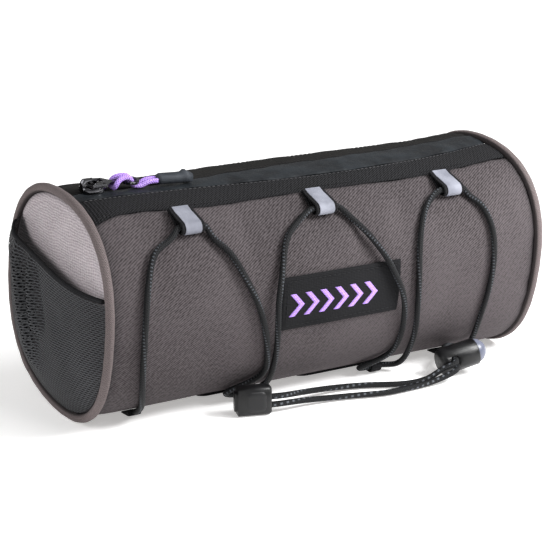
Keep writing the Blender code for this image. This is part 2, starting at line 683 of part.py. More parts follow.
def lacing_route():
    """The elastic cord from inside the lock over all the loops to the sewn end at the far left."""
    top = TOP_LOOP_SHARES
    bottom = BOTTOM_LOOP_SHARES
    route = [in_lock(LOCK_CORD_PLACE, -out, CORD_SIDE_STEP) for out in LOCK_CORD_REACH]
    route += [in_lock(LOCK_CORD_PLACE + LOCK_EXIT[0], -LOCK_EXIT[1], CORD_SIDE_STEP)]
    route += [on_cloth(*place) for place in reversed(ARC_3_RIGHT)]
    route += through_loop(top[2], TOP_LOOP_ANGLE, TOP_LOOP_WIDTH, -1)
    route += [on_cloth(*place) for place in ARC_3_LEFT]
    route += through_loop(bottom[1], BOTTOM_LOOP_ANGLE, BOTTOM_LOOP_WIDTH, -1)
    route += [on_cloth(*place) for place in ARC_2_RIGHT]
    route += through_loop(top[1], TOP_LOOP_ANGLE, TOP_LOOP_WIDTH, -1)
    route += [on_cloth(*place) for place in ARC_2_LEFT]
    route += through_loop(bottom[0], BOTTOM_LOOP_ANGLE, BOTTOM_LOOP_WIDTH, -1)
    route += [on_cloth(*place) for place in ARC_1_RIGHT]
    route += through_loop(top[0], TOP_LOOP_ANGLE, TOP_LOOP_WIDTH, -1)
    route += [on_cloth(*place) for place in ARC_1_LEFT]
    route += [on_cloth(TAB_SHARES[0], TAB_ANGLES[0] - GAP_ANGLE)]
    return route


# Hand-chosen places of the anchored end between the lock and the cloth
ANCHOR = ((0.0735, -0.0430, 0.0066), (0.0785, -0.0378, 0.0058))


def anchor_route():
    """The other end, from inside the lock to the tab that it is sewn into under the bag."""
    route = [in_lock(LOCK_CORD_PLACE, -out, -CORD_SIDE_STEP) for out in LOCK_CORD_REACH]
    route += list(ANCHOR) + [on_cloth(TAB_SHARES[1], 147.5)]
    return route + [on_cloth(TAB_SHARES[1], TAB_ANGLES[0] - GAP_ANGLE)]


def clip_frame():
    """The clip's frame: X along it to the cords, Y through its thickness, Z up, standing on its edge."""
    frame = Matrix.Rotation(math.radians(CLIP_TURN), 4, "Z")
    frame.translation = Vector((CLIP_MIDDLE[0], CLIP_MIDDLE[1], GAP))
    return frame


# Hand-chosen places of the two free tails on the resting surface, from the lock to the clip
TAIL_UPPER = ((0.0663, -0.0632, 0.0100), (0.0636, -0.0634, 0.0090), (0.0604, -0.0619, 0.0076),
              (0.0564, -0.0606, 0.0054), (0.0520, -0.0600, 0.0034), (0.0458, -0.0582, 0.0021),
              (0.0367, -0.0556, 0.0018), (0.0250, -0.0508, 0.0018), (0.0120, -0.0462, 0.0020),
              (-0.0060, -0.0458, 0.0034), (-0.0220, -0.0496, 0.0056))
TAIL_LOWER = ((0.0668, -0.0640, 0.0066), (0.0634, -0.0652, 0.0056), (0.0592, -0.0652, 0.0042),
              (0.0541, -0.0648, 0.0028), (0.0447, -0.0652, 0.0018), (0.0345, -0.0656, 0.0018),
              (0.0227, -0.0634, 0.0018), (0.0096, -0.0596, 0.0018), (-0.0060, -0.0560, 0.0022),
              (-0.0220, -0.0550, 0.0034))


def tail_route(places, lock_side, clip_height):
    frame = clip_frame()
    inside = -CLIP_SOCKET + GAP
    start = [in_lock(LOCK_CORD_PLACE, out, lock_side) for out in LOCK_CORD_REACH]
    end = [tuple(frame @ Vector((CLIP_LENGTH / 2 + out, 0.0, clip_height - GAP))) for out in (0.0030, inside)]
    return start + list(places) + end


def make_cords(mats):
    add_cord("bungee_lacing", smooth_route(lacing_route(), CORD_STEP), CORD_RADIUS, mats["cord"])
    add_cord("bungee_anchor", smooth_route(anchor_route(), CORD_STEP * 0.6), CORD_RADIUS, mats["cord"])
    low, high = CLIP_CORD_HEIGHTS
    add_cord("bungee_tail_upper", smooth_route(tail_route(TAIL_UPPER, CORD_SIDE_STEP, high), CORD_STEP),
             CORD_RADIUS, mats["cord"])
    add_cord("bungee_tail_lower", smooth_route(tail_route(TAIL_LOWER, -CORD_SIDE_STEP, low), CORD_STEP),
             CORD_RADIUS, mats["cord"])


def make_clip(mats):
    """A flat clip with a bevelled cover, a flange at its closed end and two blind cord holes."""
    length, height, half = CLIP_LENGTH / 2, CLIP_HEIGHT, CLIP_THICKNESS / 2
    edge = CLIP_EDGE
    rings = []
    stations = ((-length - CLIP_FLANGE, 1.6 * edge, 0.55), (-length, 1.6 * edge, 0.55), (-length, 0.0, 1.0),
                (length - edge, 0.0, 1.0), (length, 0.4 * edge, 0.88))
    for x, inset, depth in stations:
        low, high = inset, height - inset
        deep = half * depth
        rings.append([(x, -deep, low + edge), (x, -deep + edge, low), (x, deep - edge, low), (x, deep, low + edge),
                      (x, deep, high - edge), (x, deep - edge, high), (x, -deep + edge, high), (x, -deep, high - edge)])
    clip = add_rings("cord_end_clip", np.array(rings), mats["plastic"])
    clip.matrix_world = clip_frame()
    for number, place in enumerate(CLIP_CORD_HEIGHTS, 1):
        frame = clip_frame() @ Matrix.Translation((length - CLIP_SOCKET, 0.0, place - GAP))
        radius = CORD_RADIUS + GAP
        hole = add_turned("clip_hole_cutter_%d" % number, (
            (0.0, 0.0), (0.0, radius), (2 * CLIP_SOCKET, radius), (2 * CLIP_SOCKET, 0.0)), 12, mats["plastic"], frame)
        cut_away(clip, hole)


def pull_frame():
    """The puller's frame: the origin is the hinge axis in the slider, X runs along the closed zip."""
    angle = float(seam("zip_line", SLIDER_SHARE)[0])
    base = Vector(barrel(SLIDER_SHARE, angle, 0.0))
    up = Vector((0.0, -math.sin(math.radians(angle)), math.cos(math.radians(angle))))
    along = Vector((1.0, 0.0, 0.0))
    frame = Matrix((along, up.cross(along), up)).transposed().to_4x4()
    hinge = GAP + SLIDER_HEIGHT + TAB_BAR_TURN
    frame.translation = base + up * hinge
    return frame, hinge


def make_slider(mats):
    frame, hinge = pull_frame()
    low, high = -hinge + GAP, -hinge + GAP + SLIDER_HEIGHT
    long_half, wide_half = SLIDER_LENGTH / 2, SLIDER_WIDTH / 2
    edge = 0.0006
    rings = []
    for place, narrow in ((-1.0, 0.72), (-0.5, 1.0), (0.4, 1.0), (1.0, 0.62)):
        x = SLIDER_SHIFT + long_half * place
        wide = wide_half * narrow
        rings.append([(x, -wide, low), (x, wide, low), (x, wide, high - edge), (x, wide - edge, high),
                      (x, -wide + edge, high), (x, -wide, high - edge)])
    body = add_rings("zip_slider", np.array(rings), mats["metal"])
    body.matrix_world = frame

    # The bridge is an arch over the hinge bar, joined to the slider's plate
    inside = TAB_BAR_TURN
    outside = inside + BRIDGE_THICKNESS
    reach = BRIDGE_LENGTH / 2
    inner = reach - BRIDGE_THICKNESS
    sink = high - 0.0008
    arch = [(-reach, sink), (-reach, 0.3 * outside), (-0.7 * reach, outside), (0.7 * reach, outside),
            (reach, 0.3 * outside), (reach, sink), (inner, sink), (inner, 0.2 * inside), (0.6 * inner, inside),
            (-0.6 * inner, inside), (-inner, 0.2 * inside), (-inner, sink)]
    half = BRIDGE_WIDTH / 2
    rings = np.array([[(x, y, z) for x, z in arch] for y in (-half, half)])
    bridge = add_rings("bridge_guide", rings, mats["metal"])
    bridge.matrix_world = frame
    bridge.hide_render = True
    bridge.display_type = "WIRE"
    join = body.modifiers.new("bridge", "BOOLEAN")
    join.operation = "UNION"
    join.solver = "EXACT"
    join.object = bridge


def make_tab(mats, parent):
    """The flat metal tab: an eye round the bridge, a bar and a round ring, cut from one outline."""
    half = TAB_BAR / 2
    eye = TAB_EYE_WIDTH / 2
    ring = TAB_RING_PLACE
    radius = TAB_RING_RADIUS
    neck = 0.0015
    start = -half
    end = TAB_EYE_LENGTH
    turn = np.radians(np.linspace(160.0, 0.0, 9))
    upper = [(start, eye - 0.0012), (start + 0.0012, eye), (end - 0.0030, eye), (end, neck)]
    upper += [(ring + radius * math.cos(t), radius * math.sin(t)) for t in turn]
    outline = upper + [(x, -y) for x, y in reversed(upper[:-1])]
    rings = np.array([[(x, y, z) for x, y in outline] for z in (-half, half)])
    tab = add_rings("pull_tab", rings, mats["metal"], sharp=30.0)
    eye_hole = box_piece("eye_cutter", (half, -eye + 0.0013, -0.01), (end - 0.0036, eye - 0.0013, 0.01), mats["metal"])
    cut_away(tab, eye_hole)
    ring_hole = add_turned("ring_cutter", (
        (-0.01, 0.0), (-0.01, radius - 0.0014), (0.01, radius - 0.0014), (0.01, 0.0)), 16, mats["metal"],
        Matrix.Translation((ring, 0.0, 0.0)) @ Matrix.Rotation(math.radians(-90.0), 4, "Y"))
    cut_away(tab, ring_hole)
    for piece in (tab, eye_hole, ring_hole):
        piece.parent = parent


# One half of the purple cord from the ring's middle: under the rim, up through the ring, over it and round the bar
PULL_CORD_PLACES = (
    (0.0080, 0.0016, -0.0010), (0.0058, 0.0015, -0.0021), (0.0034, 0.0014, -0.0023), (0.0010, 0.0013, -0.0014),
    (0.0001, 0.0013, 0.0004), (-0.0013, 0.0014, 0.0020), (-0.0038, 0.0018, 0.0027), (-0.0064, 0.0027, 0.0020),
    (-0.0080, 0.0031, 0.0001), (-0.0088, 0.0025, -0.0019))


def pull_cord_route():
    """The cord's bight over the bar, through the ring and on to the grip, in the tab's frame."""
    half = [(TAB_RING_PLACE + x, y, z) for x, y, z in PULL_CORD_PLACES]
    middle = [(TAB_RING_PLACE - 0.0090, 0.0, -0.0025)]
    straight = [(GRIP_START - out, 0.0016, -0.0004) for out in (0.0005, 0.0025)]
    half = straight + half
    return half + middle + [(x, -y, z) for x, y, z in reversed(half)]


def make_grip(mats, parent):
    """The moulded rubber grip, with a raised ridge at its far end."""
    wide, high = GRIP_WIDTH / 2, GRIP_HEIGHT / 2
    rings = []
    stations = ((0.0, 0.78, 0.80), (0.06, 1.0, 0.95), (0.55, 1.0, 0.95), (0.68, 1.0, 1.0), (0.76, 1.05, 1.5),
                (0.84, 1.05, 1.45), (0.88, 1.0, 1.0), (1.0, 0.82, 0.85))
    for place, width, height in stations:
        x = GRIP_START + GRIP_LENGTH * place
        w, h = wide * width, high * height
        rings.append([(x, -w, -0.5 * high), (x, -0.6 * w, -high), (x, 0.6 * w, -high), (x, w, -0.5 * high),
                      (x, w, 0.5 * h), (x, 0.6 * w, h), (x, -0.6 * w, h), (x, -w, 0.5 * h)])
    grip = add_rings("pull_grip", np.array(rings), mats["rubber"])
    grip.parent = parent


def make_puller(mats):
    frame, _ = pull_frame()
    parent = bpy.data.objects.new("pull_axis", None)
    bpy.context.scene.collection.objects.link(parent)
    turned = frame @ Matrix.Rotation(math.radians(PULL_TURN), 4, "Z")
    parent.matrix_world = turned @ Matrix.Rotation(math.radians(PULL_SLOPE), 4, "Y")
    make_tab(mats, parent)
    cord = add_cord("pull_cord", smooth_route(pull_cord_route(), 0.0027), PULL_CORD_RADIUS, mats["purple"])
    cord.parent = parent
    make_grip(mats, parent)


def main():
    clear_scene()
    mats = {
        "grey": finish("grey_twill", (0.115, 0.100, 0.098), 0.85),
        "panel": finish("light_grey_twill", (0.270, 0.235, 0.230), 0.85),
        "twill": finish("black_twill", (0.020, 0.020, 0.021), 0.80),
        "ribbed": finish("black_ribbed_cloth", (0.022, 0.021, 0.020), 0.85),
        "coated": finish("coated_zip_tape", (0.030, 0.036, 0.041), 0.45),
        "coil": finish("black_zip_coil", (0.012, 0.012, 0.012), 0.45),
        "webbing": finish("black_webbing", (0.018, 0.018, 0.019), 0.75),
        "mesh": finish("dark_mesh", (0.040, 0.042, 0.045), 0.70),
        "label": finish("black_label", (0.015, 0.015, 0.017), 0.70),
        "cord": finish("black_elastic_cord", (0.014, 0.014, 0.016), 0.65),
        "plastic": finish("black_plastic", (0.012, 0.012, 0.013), 0.40),
        "button": finish("grey_plastic", (0.330, 0.350, 0.430), 0.45),
        "metal": finish("black_plated_metal", (0.060, 0.060, 0.062), 0.22, 1.0),
        "purple": finish("purple_cord", (0.460, 0.290, 0.860), 0.60),
        "rubber": finish("black_rubber", (0.025, 0.027, 0.030), 0.60),
    }
    make_body(mats)
    make_zip(mats)
    for side, label in ((-1, "left"), (1, "right")):
        make_end_panel(side, label, mats)
        make_piping(side, label, mats)
        make_pocket(side, label, mats)
    make_loops(mats)
    make_tabs(mats)
    make_label(mats)
    make_straps(mats)
    make_lock(mats)
    make_clip(mats)
    make_cords(mats)
    make_slider(mats)
    make_puller(mats)
    bpy.context.view_layer.update()


main()
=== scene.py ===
# %% [markdown]
# A bicycle handlebar bag, dressed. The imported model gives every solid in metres, with its front
# towards -Y and its underside on the floor. Loading it first means that each new piece can be
# made straight in place, in the same frame as the solids.

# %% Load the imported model
import math
from functools import reduce
from itertools import accumulate

import bmesh
import bpy
import numpy as np
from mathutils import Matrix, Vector


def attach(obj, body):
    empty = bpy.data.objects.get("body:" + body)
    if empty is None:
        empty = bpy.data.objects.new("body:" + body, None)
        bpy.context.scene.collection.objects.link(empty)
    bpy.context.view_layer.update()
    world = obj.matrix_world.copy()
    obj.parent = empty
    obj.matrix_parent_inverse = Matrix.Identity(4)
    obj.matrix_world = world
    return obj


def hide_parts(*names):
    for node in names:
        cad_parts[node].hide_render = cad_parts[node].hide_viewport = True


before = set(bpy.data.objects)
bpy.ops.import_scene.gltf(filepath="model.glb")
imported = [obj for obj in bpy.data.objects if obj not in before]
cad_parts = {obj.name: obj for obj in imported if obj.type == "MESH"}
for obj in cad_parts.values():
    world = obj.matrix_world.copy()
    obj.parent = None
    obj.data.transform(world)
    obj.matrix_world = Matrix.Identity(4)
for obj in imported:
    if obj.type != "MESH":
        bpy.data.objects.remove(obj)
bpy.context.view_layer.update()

# %% [markdown]
# The camera stands low and to the left of the front, with a long lens, so the barrel is hardly
# foreshortened. A camera is easiest to aim by the point that it looks at: the direction is turned
# into a rotation once and nothing needs to track it.

# %% Camera
scene = bpy.context.scene
CAMERA_PLACE = (-0.46562, -0.74674, 0.29686)
CAMERA_TARGET = (-0.00273, 0.0, 0.05102)
camera_data = bpy.data.cameras.new("camera")
camera_data.lens = 115.55
camera_data.sensor_width = 36.0
camera = bpy.data.objects.new("camera", camera_data)
camera.location = CAMERA_PLACE
camera.rotation_euler = (Vector(CAMERA_TARGET) - Vector(CAMERA_PLACE)).to_track_quat("-Z", "Y").to_euler()
scene.collection.objects.link(camera)
scene.camera = camera
print("camera", CAMERA_PLACE, "lens", camera_data.lens)

# %% [markdown]
# The table and the light are those of a plain product photograph: a nearly white sweep that is lit
# as brightly as paper, a soft key from above on the right, a low one from the left for the end of
# the bag, and a box near the right end that makes the cloth a little lighter there. Suns light the
# whole floor evenly, which a lamp close by would not, and the sweep glows a little itself, as the
# lit paper of a studio does, so that shadows on it stay faint.

# %% Floor and light
scene.view_settings.view_transform = "Standard"
world = bpy.data.worlds.new("studio")
scene.world = world
world.use_nodes = True
world.node_tree.nodes["Background"].inputs["Color"].default_value = (1.0, 1.0, 1.0, 1.0)
world.node_tree.nodes["Background"].inputs["Strength"].default_value = 0.31


def add_light(name, kind, energy, place, target, **settings):
    """A lamp at a place, turned to look at its target."""
    data = bpy.data.lights.new(name, kind)
    data.energy = energy
    for key, value in settings.items():
        setattr(data, key, value)
    lamp = bpy.data.objects.new(name, data)
    lamp.location = place
    lamp.rotation_euler = (Vector(target) - Vector(place)).to_track_quat("-Z", "Y").to_euler()
    scene.collection.objects.link(lamp)


add_light("key_sun", "SUN", 1.1, (0.45, -0.70, 1.25), (0, 0, 0), angle=math.radians(32))
add_light("side_sun", "SUN", 1.25, (-1.00, 0.12, 0.50), (0, 0, 0), angle=math.radians(45))
add_light("front_box", "AREA", 5.4, (0.34, -0.35, 0.40), (0.06, 0, 0.06), shape="RECTANGLE", size=0.22,
          size_y=0.22)
floor_mesh = bpy.data.meshes.new("floor")
FLOOR = 90.0
floor_mesh.from_pydata([(FLOOR * x, FLOOR * y, 0) for x, y in ((-1, -1), (1, -1), (1, 1), (-1, 1))], [],
                       [(0, 1, 2, 3)])
floor = bpy.data.objects.new("floor", floor_mesh)
floor.location.z = -0.0002
scene.collection.objects.link(floor)

# %% [markdown]
# Every new piece is a surface on a grid of two parameters. One helper turns a grid of points into
# a mesh: neighbours on the grid become four-sided faces, the columns can wrap round into a ring,
# the rows can close into a loop, and open ends get a cap. Because only whole arrays are used, a
# thousand stitches cost no more lines than one.

# %% Grid to mesh
def skin(name, grids, finish, uv=None, wrap=True, loop=False, caps=True, shade=None):
    """Faces between neighbours (i, j), (i, j+1), (i+1, j+1), (i+1, j) of one or many grids.

    grids is (rows, columns, 3) or (copies, rows, columns, 3); uv has one more column where the
    columns wrap and one more row where the rows loop. shade is painted shade, from 0 to 1 a point.
    """
    grids = np.asarray(grids, float)
    grids = grids if grids.ndim == 4 else grids[None]
    copies, rows, columns = grids.shape[:3]
    index = np.arange(copies * rows * columns).reshape(copies, rows, columns)
    index = np.concatenate([index, index[:, :, :1]], axis=2) if wrap else index
    index = np.concatenate([index, index[:, :1]], axis=1) if loop else index
    uv = np.zeros(index.shape + (2,)) if uv is None else np.broadcast_to(uv, index.shape + (2,))
    corner = lambda a: (a[:, :-1, :-1], a[:, :-1, 1:], a[:, 1:, 1:], a[:, 1:, :-1])
    faces = np.stack(corner(index), axis=-1).reshape(-1, 4).tolist()
    places = [np.stack(corner(uv), axis=-2).reshape(-1, 2)]
    if wrap and caps and not loop:
        for row, order in ((0, slice(None, None, -1)), (-1, slice(None))):
            faces += index[:, row, :-1][:, order].tolist()
            places.append(uv[:, row, :-1][:, order].reshape(-1, 2))
    mesh = bpy.data.meshes.new(name)
    mesh.from_pydata(grids.reshape(-1, 3), [], faces)
    layer = mesh.uv_layers.new(name="cloth")
    layer.data.foreach_set("uv", np.concatenate(places).astype(np.float32).ravel())
    if shade is not None:
        dark = mesh.attributes.new("shade", "FLOAT", "POINT")
        dark.data.foreach_set("value", np.asarray(shade, np.float32).ravel())
    if wrap:
        shape = bmesh.new()
        shape.from_mesh(mesh)
        bmesh.ops.recalc_face_normals(shape, faces=shape.faces)
        shape.to_mesh(mesh)
        shape.free()
    mesh.shade_smooth()
    mesh.set_sharp_from_angle(angle=math.radians(50))
    mesh.materials.append(finish)
    piece = bpy.data.objects.new(name, mesh)
    scene.collection.objects.link(piece)
    return piece


def wear(piece, slot, *nodes, body="bag"):
    """The piece rides on a body and stands for the solids named, which are hidden; slot is not used."""
    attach(piece, body)
    if nodes:
        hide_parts(*nodes)
    print("made %s, %d faces" % (piece.name, len(piece.data.polygons)))
    return piece


# %% [markdown]
# A finish is a tree of nodes. Two small helpers keep the trees readable: one adds a node with its
# settings and its incoming links, and one starts a node group with named sockets, so that an
# effect such as a weave is drawn once and used by several cloths at their own scale.

# %% Node helpers
TAU = 2 * math.pi


def add_node(tree, kind, ins=(), **settings):
    """A shader node with its settings; each incoming value is a number, a colour or a socket."""
    made = tree.nodes.new("ShaderNode" + kind)
    for key, value in settings.items():
        setattr(made, key, value)
    for key, value in dict(ins).items():
        if isinstance(value, bpy.types.NodeSocket):
            tree.links.new(value, made.inputs[key])
        else:
            made.inputs[key].default_value = value
    return made


def maths(tree, operation, *values):
    """The result of one Math node."""
    return add_node(tree, "Math", enumerate(values), operation=operation).outputs[0]


def fade(tree, value, low, high, to_low=0.0, to_high=1.0):
    """A value mapped smoothly from one range to another."""
    ins = {"Value": value, "From Min": low, "From Max": high, "To Min": to_low, "To Max": to_high}
    return add_node(tree, "MapRange", ins, interpolation_type="SMOOTHSTEP").outputs[0]


def mix(tree, factor, first, second):
    """Two colours mixed by a factor."""
    return add_node(tree, "Mix", {0: factor, 6: first, 7: second}, data_type="RGBA").outputs[2]


def times(tree, *factors):
    """The product of numbers and sockets, taken from left to right."""
    return reduce(lambda one, two: maths(tree, "MULTIPLY", one, two), factors)


def cosine(tree, *factors):
    """cos(2 pi a b ...): one ridge for each whole step of the product."""
    return maths(tree, "COSINE", times(tree, *factors, TAU))


def noise(tree, place, scale, detail=2.0):
    """The value of a noise texture."""
    return add_node(tree, "TexNoise", {"Vector": place, "Scale": scale, "Detail": detail}).outputs["Fac"]


def counted(tree, place, per_metre):
    """A place counted in threads, ribs or holes: the vector, and its separate axes."""
    scaled = add_node(tree, "VectorMath", {0: place, "Scale": per_metre}, operation="SCALE").outputs[0]
    return scaled, add_node(tree, "SeparateXYZ", {0: scaled}).outputs


def start_group(name, ins, outs):
    """A shader group with float inputs (a vector for Place) and float outputs."""
    tree = bpy.data.node_groups.new(name, "ShaderNodeTree")
    for key, value in ins.items():
        kind = "NodeSocketVector" if value is None else "NodeSocketFloat"
        socket = tree.interface.new_socket(key, in_out="INPUT", socket_type=kind)
        if value is not None:
            socket.default_value = value
    for key in outs:
        tree.interface.new_socket(key, in_out="OUTPUT", socket_type="NodeSocketFloat")
    return tree, tree.nodes.new("NodeGroupInput").outputs, tree.nodes.new("NodeGroupOutput").inputs


def place_group(tree, group, **ins):
    """A group's node in a tree, its inputs given by name; returns its outputs."""
    made = tree.nodes.new("ShaderNodeGroup")
    made.node_tree = group
    for key, value in ins.items():
        socket = made.inputs[key.replace("_", " ")]
        if isinstance(value, bpy.types.NodeSocket):
            tree.links.new(value, socket)
        else:
            socket.default_value = value
    return made.outputs


# %% [markdown]
# Twill is a weave in which each weft thread passes one warp thread further on than the one below,
# so fine ridges climb across the cloth. A cosine over the sum of both directions gives the ridges,
# a second one cuts them into threads, and noise shifts both a little so that no two threads match.

# %% Twill group
twill, given, put = start_group("twill_weave", {"Place": None, "Threads Per Metre": 1000.0, "Slant": 1.0},
                                ("Height", "Tone"))
place, axes = counted(twill, given["Place"], given["Threads Per Metre"])
slanted = times(twill, axes[1], given["Slant"])
shift = maths(twill, "MULTIPLY_ADD", noise(twill, place, 0.35, 3.0), 0.9, slanted)
ridge = cosine(twill, maths(twill, "ADD", axes[0], shift))
thread = cosine(twill, maths(twill, "SUBTRACT", axes[0], times(twill, axes[1], 0.6)), 0.8)
height = maths(twill, "MULTIPLY_ADD", ridge, 0.36, maths(twill, "MULTIPLY_ADD", thread, 0.12, 0.5))
twill.links.new(height, put["Height"])
twill.links.new(fade(twill, noise(twill, place, 1.3), 0.30, 0.70), put["Tone"])
print("group", twill.name)

# %% [markdown]
# Ribbed cloth, webbing and the woven label all show ribs in one direction, each rib built of short
# stitches. The same trick with the two directions kept apart draws them, and a wavy shift makes
# the soft ribs of the end panels wander as they do on a bag that has been turned inside out.

# %% Rib group
ribs, given, put = start_group("ribbed_weave", {"Place": None, "Ribs Per Metre": 700.0, "Stitches": 0.8,
                                                "Waviness": 0.2}, ("Height", "Tone"))
place, axes = counted(ribs, given["Place"], given["Ribs Per Metre"])
sway = maths(ribs, "SUBTRACT", noise(ribs, place, 0.12), 0.5)
rib = cosine(ribs, maths(ribs, "MULTIPLY_ADD", times(ribs, sway, given["Waviness"]), 8.0, axes[1]))
step = cosine(ribs, axes[0], given["Stitches"])
height = maths(ribs, "MULTIPLY_ADD", rib, 0.34, maths(ribs, "MULTIPLY_ADD", step, 0.14, 0.5))
ribs.links.new(height, put["Height"])
ribs.links.new(fade(ribs, noise(ribs, place, 1.1), 0.30, 0.70), put["Tone"])
print("group", ribs.name)

# %% [markdown]
# Worn cloth and plastic are never one even colour. This group gives a broad, cloudy shade for
# dust and fading, and a fine one for the hand of the surface, both read from the object's own
# coordinates so that they stay where they are when the bag is turned.

# %% Shade group
cloudy, given, put = start_group("cloudy_shade", {"Place": None, "Broad": 14.0, "Fine": 900.0},
                                 ("Broad", "Fine"))
cloudy.links.new(fade(cloudy, noise(cloudy, given["Place"], given["Broad"], 3.0), 0.32, 0.68), put["Broad"])
cloudy.links.new(fade(cloudy, noise(cloudy, given["Place"], given["Fine"]), 0.30, 0.70), put["Fine"])
print("group", cloudy.name)

# %% [markdown]
# The elastic cord and the purple cord have a braided sleeve: two sets of strands that wind round
# the cord in opposite ways. With one coordinate along the cord and one turn round it, each set is
# a cosine of their sum or difference, and the higher of the two is the strand on top.

# %% Braid group
braid, given, put = start_group("braided_sleeve", {"Place": None, "Strands": 6.0, "Turns Per Metre": 160.0,
                                                  "Ticks Per Metre": 600.0}, ("Height", "Tracer"))
axes = add_node(braid, "SeparateXYZ", {0: given["Place"]}).outputs
along, around = times(braid, axes[0], given["Turns Per Metre"]), axes[1]
right = cosine(braid, maths(braid, "ADD", along, around), given["Strands"])
left = cosine(braid, maths(braid, "SUBTRACT", along, around), given["Strands"])
braid.links.new(maths(braid, "MULTIPLY_ADD", maths(braid, "MAXIMUM", right, left), 0.5, 0.5), put["Height"])
tracer = cosine(braid, maths(braid, "ADD", times(braid, axes[0], 12.0), around), 2.0)
tick = cosine(braid, axes[0], given["Ticks Per Metre"])
lit = times(braid, fade(braid, tracer, 0.55, 0.95), fade(braid, tick, 0.0, 0.7))
braid.links.new(lit, put["Tracer"])
print("group", braid.name)

# %% [markdown]
# The pocket is a knitted mesh: rows of tiny holes, each row shifted by half a hole. The distance
# from the nearest hole's middle decides what is cut away, and the same value rounds the threads.

# %% Mesh group
net, given, put = start_group("knitted_holes", {"Place": None, "Holes Per Metre": 760.0, "Hole": 0.27},
                              ("Cloth", "Height"))
place, axes = counted(net, given["Place"], given["Holes Per Metre"])
row = maths(net, "ABSOLUTE", maths(net, "FLOOR", axes[1]))
odd = times(net, maths(net, "MODULO", row, 2.0), 0.5)
across = maths(net, "SUBTRACT", maths(net, "FRACT", maths(net, "ADD", axes[0], odd)), 0.5)
up = maths(net, "SUBTRACT", maths(net, "FRACT", axes[1]), 0.5)
wide = times(net, across, 0.72)
away = maths(net, "SQRT", maths(net, "ADD", times(net, wide, wide), times(net, up, up)))
net.links.new(maths(net, "GREATER_THAN", away, given["Hole"]), put["Cloth"])
net.links.new(fade(net, away, 0.22, 0.5), put["Height"])
print("group", net.name)

# %% [markdown]
# With the groups in hand, one function makes every woven finish: a weave gives the height for the
# bump and lightens the crowns of the threads, the cloudy group fades the cloth in broad patches,
# and the pieces' own shade attribute paints shade into seams, crevices and covered parts. Only
# colours and strengths differ.

# %% Cloth finishes
def new_finish(name, roughness, metallic=0.0, **settings):
    """An empty material with its Principled shader's plain values set."""
    finish = bpy.data.materials.new(name)
    finish.use_nodes = True
    shader = finish.node_tree.nodes["Principled BSDF"]
    shader.inputs["Roughness"].default_value = roughness
    shader.inputs["Metallic"].default_value = metallic
    for key, value in settings.items():
        shader.inputs[key.replace("_", " ")].default_value = value
    return finish, finish.node_tree, shader


def rgb(red, green, blue):
    """A colour given as it looks on the screen, in 0 to 255, turned into scene light."""
    c = np.array([red, green, blue]) / 255.0
    return (*np.where(c <= 0.04045, c / 12.92, ((c + 0.055) / 1.055) ** 2.4).tolist(), 1.0)


def cloth_place(tree):
    """The place on the cloth in metres, from the piece's own grid."""
    return add_node(tree, "UVMap", uv_map="cloth").outputs[0]


def clouds(tree, **ins):
    """The cloudy group, read from the object's own coordinates."""
    return place_group(tree, cloudy, Place=add_node(tree, "TexCoord").outputs["Object"], **ins)


def emboss(tree, shader, height, distance, strength=1.0):
    """A bump of so many metres on the shader's normal."""
    relief = add_node(tree, "Bump", {"Height": height, "Distance": distance, "Strength": strength})
    tree.links.new(relief.outputs[0], shader.inputs["Normal"])


def woven(name, dark, light, group, bump, contrast=0.75, tone=0.35, fading=0.30, **weave):
    """A cloth: dark between threads, light on their crowns, faded in patches, with painted shade and a bump.
    """
    finish, tree, shader = new_finish(name, 0.85, Specular_IOR_Level=0.12)
    cloth = place_group(tree, group, Place=cloth_place(tree), **weave)
    crown = times(tree, cloth["Height"], contrast)
    crown = maths(tree, "MULTIPLY_ADD", cloth["Tone"], tone, crown)
    crown = maths(tree, "MULTIPLY_ADD", clouds(tree)["Broad"], fading, crown)
    colour = mix(tree, maths(tree, "MINIMUM", crown, 1.3), dark, light)
    # Painted shade: the piece's shade attribute darkens the colour towards near black.
    painted_shade = add_node(tree, "Attribute", attribute_name="shade").outputs["Fac"]
    colour = mix(tree, times(tree, painted_shade, 0.75), colour, (0.008, 0.008, 0.009, 1.0))
    tree.links.new(colour, shader.inputs["Base Color"])
    emboss(tree, shader, cloth["Height"], bump, 0.8)
    return finish


grey_twill = woven("grey_twill_cloth", rgb(27, 24, 24), rgb(87, 81, 83), twill, 0.0003,
                   Threads_Per_Metre=480.0, Slant=-1.6)
panel_cloth = woven("light_grey_panel_cloth", rgb(124, 116, 119), rgb(192, 183, 187), ribs, 0.0004,
                    contrast=0.6, Ribs_Per_Metre=760.0, Stitches=0.7, Waviness=0.22)
piping_cloth = woven("light_grey_piping_cloth", rgb(58, 52, 51), rgb(119, 109, 109), twill, 0.00035,
                     Threads_Per_Metre=1100.0)
strip_cloth = woven("black_twill_cloth", rgb(2, 2, 2), rgb(42, 42, 44), twill, 0.0006, contrast=1.0,
                    tone=0.25, fading=0.1, Threads_Per_Metre=560.0, Slant=-1.6)
ribbed_cloth = woven("black_ribbed_cloth", rgb(6, 6, 6), rgb(38, 37, 36), ribs, 0.0005, Ribs_Per_Metre=650.0)
webbing = woven("black_woven_webbing", rgb(5, 5, 6), rgb(34, 34, 36), ribs, 0.0003, Ribs_Per_Metre=900.0)
label_cloth = woven("black_label_cloth", rgb(9, 9, 10), rgb(32, 32, 34), ribs, 0.0002, Ribs_Per_Metre=1300.0)
purple_thread = woven("purple_embroidery", rgb(140, 104, 196), rgb(196, 160, 246), ribs, 0.0003,
                      Ribs_Per_Metre=2600.0, Stitches=0.2)
dark_thread = woven("dark_sewing_thread", rgb(14, 14, 15), rgb(50, 50, 52), twill, 0.00005,
                    Threads_Per_Metre=4000.0)
pale_thread = woven("grey_sewing_thread", rgb(44, 44, 46), rgb(92, 91, 93), twill, 0.00005,
                    Threads_Per_Metre=4000.0)
print(len(bpy.data.materials), "finishes so far")


